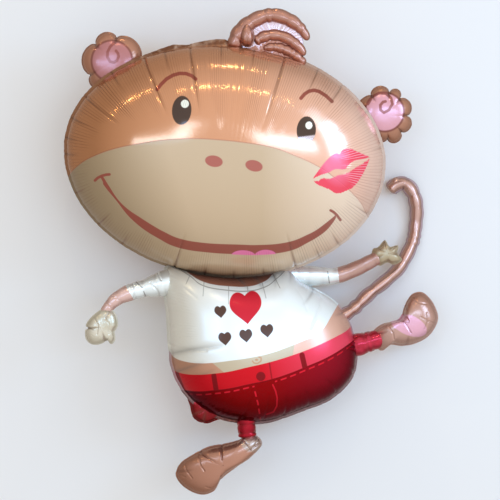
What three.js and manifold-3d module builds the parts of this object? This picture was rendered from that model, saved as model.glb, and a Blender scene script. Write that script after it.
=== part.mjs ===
// A monkey-shaped foil balloon lying on its back, in millimetres, +Z up and +Y towards the top of the head.
// Two metallised sheets are welded round one outline and blown up, so head, ears, hair, limbs and tail are
// one sealed body. Each chamber bulges both ways from its weld line and is puckered along it.
import * as THREE from "three";
import { mergeVertices } from "three/addons/utils/BufferGeometryUtils.js";
import Module from "manifold-3d";

const wasm = await Module();
wasm.setup();

// Driving dimensions.
const figureHeight = 1000; // from the sole of the lower foot to the top of the hair
const weldFlange = 6; // width of the flat welded edge outside each chamber
const weldThickness = 1.6; // thickness of that edge
const webThickness = 2.4; // the flat foil between the locks of hair
const tailHalfWidth = 10; // the tail's tube, beside its flanges
const earDrop = 24; // how far the ears' weld lies below the head's, so that the head's edge covers theirs
const neckDrop = 40; // how far the middle of the neck lies below the welds it joins, hidden by the chin
const restingCut = 3; // how deep the flat spots are pressed into the two backs it lies on

// Pose and outlines are thousandths of the figure's height, from the middle of its height.
const share = figureHeight / 1000;
const at = (list) => list.map(([x, y, z = 0]) => new THREE.Vector3(x * share, y * share, z * share));
const turn = 2 * Math.PI;
const radians = THREE.MathUtils.degToRad;

// A smooth closed outline through a few points, as a function of the way round it from 0 to 1, anticlockwise.
function closedOutline(points) {
  const clockwise = THREE.ShapeUtils.area(at(points)) < 0;
  const curve = new THREE.CatmullRomCurve3(at(clockwise ? points.toReversed() : points), true, "centripetal");
  return (way) => curve.getPointAt(way % 1);
}

// An ellipse with its own half size to each side, tilted, as on the wide head.
function tiltedOval({ centre, left, right, up, down, tilt }) {
  const cos = Math.cos(radians(tilt));
  const sin = Math.sin(radians(tilt));
  return (way) => {
    const across = Math.cos(turn * way);
    const along = Math.sin(turn * way);
    const x = across * (across < 0 ? left : right) * share;
    const y = along * (along < 0 ? down : up) * share;
    return new THREE.Vector3(centre[0] * share + x * cos + y * sin, centre[1] * share - x * sin + y * cos, 0);
  };
}

// A round outline pinched in at the given angles, with a full lobe between each two, as on the ears.
function lobedRound({ centre, radius, notches, notchDepth }) {
  const sorted = notches.map((angle) => (((angle % 360) + 360) % 360) / 360).sort((a, b) => a - b);
  return (way) => {
    const next = sorted.find((notch) => notch > way % 1) ?? sorted[0] + 1;
    const before = sorted.findLast((notch) => notch <= way % 1) ?? sorted.at(-1) - 1;
    const bulge = Math.sin((Math.PI * ((way % 1) - before)) / (next - before)) ** 0.6;
    const reach = radius * share * (1 - notchDepth * (1 - bulge));
    return new THREE.Vector3(
      centre[0] * share + reach * Math.cos(turn * way),
      centre[1] * share + reach * Math.sin(turn * way),
      0,
    );
  };
}

// Turns rows of points, from one pole to the other, into a closed solid.
function closedRows(firstPole, rows, lastPole) {
  const around = rows[0].length;
  const points = [firstPole, ...rows.flat(), lastPole];
  const corners = [];
  const index = (row, step) => 1 + row * around + (step % around);
  for (let step = 0; step < around; step++) {
    corners.push(0, index(0, step), index(0, step + 1));
    for (let row = 0; row + 1 < rows.length; row++) {
      corners.push(index(row, step), index(row + 1, step), index(row + 1, step + 1));
      corners.push(index(row, step), index(row + 1, step + 1), index(row, step + 1));
    }
    corners.push(points.length - 1, index(rows.length - 1, step + 1), index(rows.length - 1, step));
  }
  const geometry = new THREE.BufferGeometry().setFromPoints(points);
  geometry.setIndex(corners);
  return geometry;
}

// How far a radial crease has let the foil sink in a direction from the middle, from 0 to 1.
function creasing(direction, creases, creaseWidth) {
  return creases.reduce((most, [angle, strength]) => {
    const apart = Math.abs(((direction - angle / 360 + 2.5) % 1) - 0.5) * turn;
    return Math.max(most, strength * Math.exp(-((apart / creaseWidth) ** 2)));
  }, 0);
}

// A chamber blown up between two sheets. It leans so that its rim is raised on one side, and its rim is
// stretched by as much, so that from straight above the weld line keeps its outline.
function chamber(shape) {
  const { rim, centre, halfDepth, planeHeight, rings, around } = shape;
  const { folds = 0, foldDepth = 0, creases = [], creaseWidth = 0.09, raised = 0, lean = 0 } = shape;
  const middle = new THREE.Vector3(centre[0] * share, centre[1] * share, 0);
  const uphill = new THREE.Vector3(Math.cos(radians(raised)), Math.sin(radians(raised)), 0);
  const axis = new THREE.Vector3(-uphill.y, uphill.x, 0);
  const place = (offset, height) => {
    const along = offset.dot(uphill) / Math.cos(radians(lean));
    const level = offset.dot(axis);
    const cos = Math.cos(radians(lean));
    const sin = Math.sin(radians(lean));
    return middle
      .clone()
      .addScaledVector(axis, level)
      .addScaledVector(uphill, along * cos - height * sin)
      .setZ(planeHeight * share + along * sin + height * cos);
  };
  const ring = (reach, side, edge = 0) =>
    Array.from({ length: around }, (_, step) => {
      const way = step / around;
      const fold = (foldDepth * (1 - Math.cos(turn * folds * way))) / 2;
      const offset = rim(way).sub(middle);
      const size = offset.length();
      const direction = Math.atan2(offset.y, offset.x) / turn;
      const sink = Math.min(0.6, fold + creasing(direction, creases, creaseWidth)) * reach ** 7;
      offset.multiplyScalar((reach * (size - weldFlange) * (1 - 0.12 * sink) + edge) / size);
      const swell = Math.sqrt(Math.max(0, 1 - reach ** 3)) * (1 - sink);
      return place(offset, side * Math.max(weldThickness / 2, swell * halfDepth * share));
    });
  const reaches = Array.from({ length: rings }, (_, step) => Math.sin(((step + 1) / (rings + 0.35)) * (turn / 4)));
  const rows = [
    ...reaches.map((reach) => ring(reach, 1)),
    ring(1, 1),
    ring(1, 1, weldFlange),
    ring(1, -1, weldFlange),
    ring(1, -1),
    ...reaches.toReversed().map((reach) => ring(reach, -1)),
  ];
  const none = new THREE.Vector3();
  return closedRows(place(none, halfDepth * share), rows, place(none, -halfDepth * share));
}

// The height of a leaning chamber's weld plane over a point, where what is welded to it leaves.
function weldHeight(shape, x, y) {
  const { centre, planeHeight, raised, lean } = shape;
  const out = (x - centre[0]) * Math.cos(radians(raised)) + (y - centre[1]) * Math.sin(radians(raised));
  return planeHeight + out * Math.tan(radians(lean));
}

// A blown-up tube along a path. widths and depths are half sizes in thousandths of the height, spread evenly
// along it; flange adds the flat welded edges at its two sides; pinches narrow it at even steps.
function tube({ path, widths, depths, steps, arc = 3, flange = 0, pinches = 0 }) {
  const curve = new THREE.CatmullRomCurve3(at(path), false, "centripetal");
  const spread = (list, way) => {
    const place = way * (list.length - 1);
    const low = Math.min(Math.floor(place), list.length - 2);
    return THREE.MathUtils.lerp(list[low], list[low + 1], place - low) * share;
  };
  const rows = Array.from({ length: steps + 1 }, (_, step) => {
    const way = step / steps;
    const centre = curve.getPointAt(way);
    const forward = curve.getTangentAt(way);
    const side = new THREE.Vector3(forward.y, -forward.x, 0).normalize();
    const pinch = pinches ? 1 - 0.06 * Math.cos(Math.PI * step) : 1;
    const half = spread(widths, way) * pinch;
    const deep = spread(depths, way) * pinch;
    const section = [];
    for (const face of [1, -1]) {
      if (flange) section.push([face * (half + flange), (face * weldThickness) / 2]);
      for (let step = 0; step <= arc + 1; step++) {
        const angle = (Math.PI * step) / (arc + 1);
        const edge = step === 0 || step === arc + 1;
        if (edge && !flange && step) continue;
        const rise = edge && flange ? weldThickness / 2 : deep * Math.sin(angle);
        section.push([face * half * Math.cos(angle), face * rise]);
      }
      if (flange) section.push([-face * (half + flange), (face * weldThickness) / 2]);
    }
    return section.map(([out, up]) => centre.clone().addScaledVector(side, out).add(new THREE.Vector3(0, 0, up)));
  });
  const overrun = spread(widths, 0) * 0.5;
  const first = curve.getPointAt(0).addScaledVector(curve.getTangentAt(0), -overrun);
  const last = curve.getPointAt(1).addScaledVector(curve.getTangentAt(1), spread(widths, 1) * 0.5);
  return closedRows(first, rows, last);
}

// A flat piece of foil, extruded from its outline.
function flatFoil(points, height, thickness) {
  const shape = new THREE.Shape();
  const [start, ...rest] = at(points);
  shape.moveTo(start.x, start.y);
  shape.splineThru([...rest, start].map((p) => new THREE.Vector2(p.x, p.y)));
  const geometry = new THREE.ExtrudeGeometry(shape, { depth: thickness, bevelEnabled: false, curveSegments: 2 });
  return geometry.translate(0, 0, height * share - thickness / 2);
}

function solid(geometry) {
  geometry.deleteAttribute("normal");
  geometry.deleteAttribute("uv");
  const merged = mergeVertices(geometry, 1e-4);
  const made = new wasm.Manifold(
    new wasm.Mesh({
      numProp: 3,
      vertProperties: merged.getAttribute("position").array,
      triVerts: new Uint32Array(merged.index.array),
    }),
  );
  return made;
}

// The head: a wide pillow, its top edge raised, with the deep creases of its rim.
const head = {
  centre: [-51, 191],
  halfDepth: 150,
  planeHeight: 0,
  raised: 100,
  lean: 6,
  around: 76,
  rings: 6,
  folds: 38,
  foldDepth: 0.08,
  creaseWidth: 0.05,
  creases: [
    [3, 0.2], [29, 0.35], [58, 0.45], [111, 0.45], [132, 0.45], [152, 0.35], [162, 0.25],
    [180, 0.25], [206, 0.3], [245, 0.5], [299, 0.5], [322, 0.3], [338, 0.3],
  ],
};
head.rim = tiltedOval({ centre: head.centre, left: 335, right: 325, up: 230, down: 247, tilt: 5 });

// The body: one round pillow, its lower left rim raised, so that the back sheet shows beyond the weld.
const body = {
  centre: [20, -195],
  halfDepth: 108,
  planeHeight: 0,
  raised: 215,
  lean: 14,
  around: 52,
  rings: 5,
  folds: 26,
  foldDepth: 0.08,
  creaseWidth: 0.07,
  creases: [[355, 0.3], [47, 0.2], [184, 0.5], [205, 0.3], [251, 0.3], [268, 0.3], [325, 0.3]],
};
body.rim = closedOutline([
  [-180, -32], [-184, -71], [-178, -129], [-174, -185], [-166, -242], [-141, -292], [-96, -333],
  [-32, -354], [26, -356], [98, -335], [170, -306], [211, -263], [220, -222], [213, -178], [201, -143],
  [176, -108], [135, -81], [98, -61], [69, -34], [20, -45], [-55, -52], [-129, -44],
]);

// Both backs reach as far below the surface that the balloon lies on as their flat spots are deep.
for (const shape of [head, body]) {
  const back = chamber(shape);
  back.computeBoundingBox();
  shape.planeHeight = -(back.boundingBox.min.z + restingCut) / share;
}

const onBody = (points, above = 0) => points.map(([x, y]) => [x, y, weldHeight(body, x, y) + above]);
const onHead = (points, above = 0) => points.map(([x, y]) => [x, y, weldHeight(head, x, y) + above]);

// The neck: the narrow waist where head and body meet, wide, flat and deep under the chin.
const neckHeight = (weldHeight(head, -55, 20) + weldHeight(body, -55, -100)) / 2 - neckDrop / share;
const neck = tube({
  path: [[-55, 20, neckHeight], [-55, -40, neckHeight], [-55, -100, neckHeight]],
  widths: [118, 108, 118],
  depths: [40, 28, 40],
  steps: 4,
  arc: 3,
});

// The ears: scalloped pillows on the head's rim, half behind its front.
function ear(centre, radius, notches) {
  return chamber({
    rim: lobedRound({ centre, radius, notches, notchDepth: 0.2 }),
    centre,
    halfDepth: 26,
    planeHeight: weldHeight(head, ...centre) - earDrop / share,
    raised: head.raised,
    lean: head.lean,
    around: 28,
    rings: 2,
  });
}
const ears = [
  ear([-286, 384], 65, [207, 132, 81, 358, 250]),
  ear([269, 280], 58, [122, 76, 46, 0, 318, 280]),
];

// Half widths along the locks of hair, from their roots to their tips.
const hairTop = [18, 17, 15, 14.5, 14.5, 14, 11, 6];
const hairMiddle = [11, 12, 12, 12, 11, 6];
const hairLow = [6, 8, 9, 6];

// The hair: two locks bent over in arcs and a short one, with a drop-shaped lock in front and flat foil between.
function hair() {
  const outer = onHead([[-39, 429], [-25, 452], [-4, 470], [21, 480], [45, 481], [72, 471], [95, 454], [110, 432]]);
  const middle = onHead([[-2, 427], [19, 438], [41, 442], [66, 435], [91, 417], [103, 400]]);
  const lower = onHead([[23, 417], [52, 410], [80, 400], [105, 384]]);
  const rise = weldHeight(head, 39, 435);
  const web = [
    [-25, 408], [-14, 446], [10, 466], [39, 470], [72, 458], [97, 435],
    [99, 417], [95, 400], [101, 382], [66, 388], [19, 400],
  ];
  const drop = [[-14, 466], [0, 435], [-8, 405], [-27, 429]];
  return [
    tube({ path: outer, widths: hairTop, depths: hairTop, steps: 14, arc: 2 }),
    tube({ path: middle, widths: hairMiddle, depths: hairMiddle, steps: 9, arc: 2 }),
    tube({ path: lower, widths: hairLow, depths: hairLow, steps: 6, arc: 2 }),
    chamber({
      rim: closedOutline(drop),
      centre: [-10, 433],
      halfDepth: 15,
      planeHeight: rise + 10,
      raised: head.raised,
      lean: head.lean,
      around: 16,
      rings: 2,
    }),
    flatFoil(web, rise, webThickness),
  ];
}

// A hand or a foot: a small chamber with the outline of its fingers, lying in a level plane.
function paw(outline, centre, planeHeight, halfDepth, around, rings) {
  return chamber({ rim: closedOutline(outline), centre, planeHeight, halfDepth, around, rings });
}

// The left arm hangs down and out, and ends in a hand of two fingers and a thumb.
function leftArm() {
  const path = onBody([[-150, -60], [-211, -75], [-251, -86], [-284, -104], [-304, -126]]);
  const hand = [
    [-279, -133], [-292, -121], [-312, -119], [-331, -135], [-341, -150], [-335, -160], [-347, -170], [-335, -193],
    [-314, -195], [-300, -184], [-288, -194], [-277, -172],
  ];
  return [
    tube({ path, widths: [28, 27, 17, 15, 13], depths: [26, 25, 16, 14, 12], steps: 8 }),
    paw(hand, [-311, -157], weldHeight(body, -304, -126), 14, 24, 2),
  ];
}

// The right arm reaches out, and its star of fingers lies over the tail.
function rightArm() {
  const handHeight = weldHeight(body, 259, -15) + 26;
  const reach = [...onBody([[60, -52], [135, -54], [176, -53]]), [213, -40, handHeight - 8], [262, -13, handHeight]];
  const hand = [
    [248, 3], [261, 9], [273, 23], [285, 9], [300, 9], [301, -5], [310, -20],
    [292, -30], [278, -26], [261, -31], [248, -15],
  ];
  return [
    tube({ path: reach, widths: [27, 22, 17, 15, 13], depths: [28, 22, 15, 13, 11], steps: 8 }),
    paw(hand, [278, -8], handHeight, 13, 22, 2),
  ];
}

// The tail: a long thin tube up the right side, hooked at its tip, with a flange along each side.
function tail() {
  const path = onBody([[165, -143], [201, -116], [234, -90], [271, -55], [302, -18], [323, 22], [335, 63]]);
  const rise = path.at(-1)[2];
  const tip = [[337, 98, rise + 6], [327, 126, rise + 8], [310, 137, rise + 8], [289, 130, rise + 6]];
  const half = tailHalfWidth / share;
  const sizes = [half, half, half, half, half, half * 1.05, half * 0.8];
  return [
    tube({
      path: [...path, ...tip],
      widths: sizes,
      depths: sizes.map((size) => size * 1.1),
      steps: 22,
      arc: 2,
      flange: weldFlange * 0.75,
      pinches: 1,
    }),
  ];
}

// The legs: short pinched tubes out of the trousers, with a big foot at each end.
function legs() {
  const rightRise = weldHeight(body, 222, -193) + 4;
  const leftRise = weldHeight(body, -13, -362) - 8;
  const rightFoot = [
    [281, -150], [302, -141], [316, -108], [329, -90], [347, -86], [366, -102], [381, -139], [372, -166],
    [356, -183], [331, -195], [306, -199], [283, -197], [265, -209], [248, -195], [247, -170], [265, -154],
  ];
  const leftFoot = [
    [-28, -389], [-53, -396], [-90, -403], [-127, -422], [-149, -438], [-158, -461], [-141, -486], [-104, -502],
    [-79, -494], [-65, -471], [-34, -446], [-5, -426], [20, -395], [-1, -376],
  ];
  return [
    tube({
      path: [[185, -205, rightRise - 4], [222, -196, rightRise], [275, -180, rightRise]],
      widths: [22, 19, 17],
      depths: [26, 22, 20],
      steps: 4,
    }),
    paw(rightFoot, [320, -150], rightRise, 32, 26, 3),
    tube({
      path: [[-15, -325, leftRise], [-13, -362, leftRise], [-9, -395, leftRise]],
      widths: [24, 17, 20],
      depths: [26, 20, 20],
      steps: 4,
    }),
    paw(leftFoot, [-62, -442], leftRise, 28, 26, 3),
  ];
}

// Joined, pressed flat where it lies, and moved so that the origin is under the middle of its box.
function envelope() {
  const pieces = [chamber(head), chamber(body), neck, ...ears, ...hair(), ...leftArm(), ...rightArm(), ...tail()];
  const joined = wasm.Manifold.union([...pieces, ...legs()].map(solid));
  const floor = new THREE.BoxGeometry(4 * figureHeight, 4 * figureHeight, figureHeight);
  floor.translate(0, 0, -figureHeight / 2);
  const mesh = joined.subtract(solid(floor)).getMesh();
  const geometry = new THREE.BufferGeometry();
  geometry.setAttribute("position", new THREE.BufferAttribute(new Float32Array(mesh.vertProperties), 3));
  geometry.setIndex(new THREE.BufferAttribute(mesh.triVerts, 1));
  geometry.computeBoundingBox();
  const { min, max } = geometry.boundingBox;
  geometry.translate(-(min.x + max.x) / 2, -(min.y + max.y) / 2, 0);
  geometry.computeVertexNormals();
  return geometry;
}

const foil = new THREE.MeshStandardMaterial({ color: 0xc8916e, roughness: 0.32, metalness: 0.7 });
const balloon = new THREE.Group();
const foilEnvelope = new THREE.Mesh(envelope(), foil);
foilEnvelope.name = "foil_envelope";
balloon.add(foilEnvelope);

export default balloon;
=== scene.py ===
"""A monkey-shaped foil balloon, blown up and lying on its back, seen from straight above."""

import math

import bpy
import numpy as np
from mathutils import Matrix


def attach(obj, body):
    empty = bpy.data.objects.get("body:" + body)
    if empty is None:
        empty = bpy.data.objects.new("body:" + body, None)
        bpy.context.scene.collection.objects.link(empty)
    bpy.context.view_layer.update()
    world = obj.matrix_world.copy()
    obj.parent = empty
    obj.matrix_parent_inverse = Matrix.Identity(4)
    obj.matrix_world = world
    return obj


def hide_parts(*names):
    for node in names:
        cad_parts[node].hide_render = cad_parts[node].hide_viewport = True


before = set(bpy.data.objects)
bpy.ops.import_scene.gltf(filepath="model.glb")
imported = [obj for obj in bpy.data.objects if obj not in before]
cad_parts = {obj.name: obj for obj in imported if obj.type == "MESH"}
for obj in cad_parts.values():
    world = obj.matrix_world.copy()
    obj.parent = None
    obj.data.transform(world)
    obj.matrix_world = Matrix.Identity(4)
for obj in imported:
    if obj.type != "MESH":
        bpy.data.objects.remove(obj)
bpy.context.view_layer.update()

# Lengths in this script are millimetres until a mesh is made. The frame is in metres.
MM = 0.001
ENVELOPE = "foil_envelope"
FIGURE_HEIGHT = 1000.0
WELD_FLANGE = 6.0
SMALL_FLANGE = 3.0
FILM = 0.5
# The value called rim is 1 on a chamber's weld and more on the flat edge outside it.
FLANGE_RIM = 1.1
FIN_RIM = 1.15
TAIL_HALF_WIDTH = 10.0
SHIFT = np.array([1.76, 2.92])
# The height of each chamber's weld at its centre, and how the weld slopes: up towards the direction that
# raised gives in degrees, by lean degrees.
HEAD_PLANE = 151.4
BODY_PLANE = 116.4
HEAD_LEAN = {"raised": 100, "lean": 6}
BODY_LEAN = {"raised": 215, "lean": 14}
EAR_DROP = 28.0
NECK_DROP = 40.0

# One pixel of the photograph is this many millimetres at the weld, and the figure is centred on this pixel.
PIXEL = FIGURE_HEIGHT / 485
PICTURE_CENTRE = (252.5, 250.5)
VIEW_DISTANCE = 3200.0
VIEW_LEVEL = 130.0

# Near a chamber's middle its outline is smoothed over this many radians, at this many directions.
ROUNDING = 0.30
DIRECTIONS = 720

# The three sizes of puckers on a chamber. Each is times the pitch, times the height at the weld, times the
# height further in, and its share of the length that puckers reach in.
PUCKER_LAYERS = ((1.0, 1.0, 1.0, 1.0), (2.3, 0.8, 0.8, 0.7), (5.2, 0.9, 1.6, 0.6))

random = np.random.default_rng(7)


def px(points):
    """Points of the photograph as millimetres in the frame."""
    points = np.atleast_2d(np.array(points, float))
    return np.stack(
        [(points[:, 0] - PICTURE_CENTRE[0]) * PIXEL, (PICTURE_CENTRE[1] - points[:, 1]) * PIXEL], axis=1
    )


def srgb(red, green, blue):
    """A colour of 0 to 255 a channel, as linear light."""
    values = [c / 255 for c in (red, green, blue)]
    return tuple(c / 12.92 if c <= 0.04045 else ((c + 0.055) / 1.055) ** 2.4 for c in values) + (1.0,)


# Curves and outlines


def spline(points, count, closed=False):
    """A smooth centripetal curve through the points, as count points evenly apart along it."""
    points = np.array(points, float)
    if closed:
        points = np.vstack([points[-1], points, points[:2]])
    else:
        points = np.vstack([2 * points[0] - points[1], points, 2 * points[-1] - points[-2]])
    way = np.linspace(0, 1, 40, endpoint=False)[:, None]
    pieces = []
    for p0, p1, p2, p3 in zip(points, points[1:], points[2:], points[3:]):
        t1 = np.linalg.norm(p1 - p0) ** 0.5 + 1e-9
        t2 = t1 + np.linalg.norm(p2 - p1) ** 0.5 + 1e-9
        t3 = t2 + np.linalg.norm(p3 - p2) ** 0.5 + 1e-9
        t = t1 + (t2 - t1) * way
        a1 = (t1 - t) / t1 * p0 + t / t1 * p1
        a2 = (t2 - t) / (t2 - t1) * p1 + (t - t1) / (t2 - t1) * p2
        a3 = (t3 - t) / (t3 - t2) * p2 + (t - t2) / (t3 - t2) * p3
        b1 = (t2 - t) / t2 * a1 + t / t2 * a2
        b2 = (t3 - t) / (t3 - t1) * a2 + (t - t1) / (t3 - t1) * a3
        pieces.append((t2 - t) / (t2 - t1) * b1 + (t - t1) / (t2 - t1) * b2)
    dense = np.vstack(pieces + [points[-2][None]])
    along = np.concatenate([[0], np.cumsum(np.linalg.norm(np.diff(dense, axis=0), axis=1))])
    wanted = np.linspace(0, along[-1], count, endpoint=not closed)
    return np.stack([np.interp(wanted, along, dense[:, k]) for k in range(dense.shape[1])], axis=1)


def anticlockwise(points):
    x, y = np.array(points, float).T[:2]
    turned = np.sum(x * np.roll(y, -1) - y * np.roll(x, -1)) > 0
    return points if turned else points[::-1]


def tilted_oval(centre, left, right, up, down, tilt):
    """The outline of the wide head, as a function of how many points it needs."""

    def outline(count):
        way = np.arange(count) / count * 2 * np.pi
        across, along = np.cos(way), np.sin(way)
        x = across * np.where(across < 0, left, right)
        y = along * np.where(along < 0, down, up)
        cos, sin = math.cos(math.radians(tilt)), math.sin(math.radians(tilt))
        return np.stack([centre[0] + x * cos + y * sin, centre[1] - x * sin + y * cos], axis=1)

    return outline


def lobed_round(centre, radius, notches, depth):
    """A round outline pinched in at the notches, as on the ears."""

    def outline(count):
        way = np.arange(count) / count * 360
        marks = np.sort(np.array(notches) % 360)
        marks = np.concatenate([[marks[-1] - 360], marks, [marks[0] + 360]])
        after = np.searchsorted(marks, way, side="right")
        part = (way - marks[after - 1]) / (marks[after] - marks[after - 1])
        reach = radius * (1 - depth * (1 - np.sin(np.pi * part) ** 0.6))
        return np.stack(
            [centre[0] + reach * np.cos(np.radians(way)), centre[1] + reach * np.sin(np.radians(way))], axis=1
        )

    return outline


def outline_through(points):
    return lambda count: spline(anticlockwise(points), count, closed=True)


# Wrinkles of blown-up foil


def puckers(count, pitch_count, wander=0.35):
    """Rounded ridges with sharp valleys between them round a rim: the height of each, from 0 to 1, at count
    places, with ridges of uneven width, and the strength of each ridge."""
    widths = 1 + wander * random.uniform(-1, 1, pitch_count)
    edges = np.concatenate([[0], np.cumsum(widths)]) / widths.sum()
    phase = np.interp(np.arange(count) / count, edges, np.arange(pitch_count + 1))
    strengths = random.uniform(0.35, 1.0, pitch_count)
    return np.abs(np.sin(np.pi * phase)), strengths[np.minimum(phase.astype(int), pitch_count - 1)]


def smooth_noise(count, knots, low, high):
    """A smooth value that changes along a closed rim, between low and high."""
    values = random.uniform(low, high, knots)
    values = np.concatenate([values, values[:1]])
    place = np.arange(count) / count * knots
    base = place.astype(int)
    part = place - base
    part = part * part * (3 - 2 * part)
    return values[base] * (1 - part) + values[base + 1] * part


def normals_of(grid):
    """Unit normals of a grid of points whose columns run round and whose rows run outwards."""
    around = np.roll(grid, -1, axis=1) - np.roll(grid, 1, axis=1)
    out = np.gradient(grid, axis=0)
    normal = np.cross(out, around)
    return normal / np.maximum(np.linalg.norm(normal, axis=2, keepdims=True), 1e-9)


# Meshes


def stitched_faces(counts, starts):
    """Faces between rows of points that close on themselves, where the next row may have half or twice as
    many points as the last."""
    faces = []
    for (n, a), (m, b) in zip(zip(counts, starts), zip(counts[1:], starts[1:])):
        if n == m:
            k = np.arange(n)
            nxt = (k + 1) % n
            faces.append(np.stack([a + k, b + k, b + nxt, a + nxt], axis=1).tolist())
            continue
        few, many, flip = (n, m, False) if n < m else (m, n, True)
        first, second = (a, b) if n < m else (b, a)
        k = np.arange(few)
        nxt = (k + 1) % few
        middle = second + 2 * k + 1
        last = second + (2 * k + 2) % many
        three = [
            np.stack([first + k, second + 2 * k, middle], axis=1),
            np.stack([first + k, middle, first + nxt], axis=1),
            np.stack([first + nxt, middle, last], axis=1),
        ]
        for part in three:
            faces.append((part[:, ::-1] if flip else part).tolist())
    return [tuple(face) for group in faces for face in group]


def closing_strip(start, count):
    """Faces that close a small loop of points, joining each to the one across it."""
    across = [(k, k + 1, count - k - 1, (count - k) % count) for k in range(count // 2)]
    rungs = [tuple(dict.fromkeys(rung)) for rung in across]
    return [tuple(start + k for k in rung) for rung in rungs if len(rung) > 2]


def make_mesh(name, points, faces, material, values=None):
    """A smooth mesh object from points in millimetres, with named values on its points."""
    points = np.array(points, float)
    points[:, :2] += SHIFT
    points[:, 2] = np.maximum(points[:, 2], 0)
    mesh = bpy.data.meshes.new(name)
    mesh.from_pydata((points * MM).tolist(), [], faces)
    mesh.update()
    mesh.polygons.foreach_set("use_smooth", [True] * len(mesh.polygons))
    for label, numbers in (values or {}).items():
        layer = mesh.attributes.new(label, "FLOAT", "POINT")
        layer.data.foreach_set("value", np.array(numbers, np.float32))
    piece = bpy.data.objects.new(name, mesh)
    bpy.context.scene.collection.objects.link(piece)
    mesh.materials.append(material)
    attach(piece, "root")
    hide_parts(ENVELOPE)
    return piece


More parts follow.
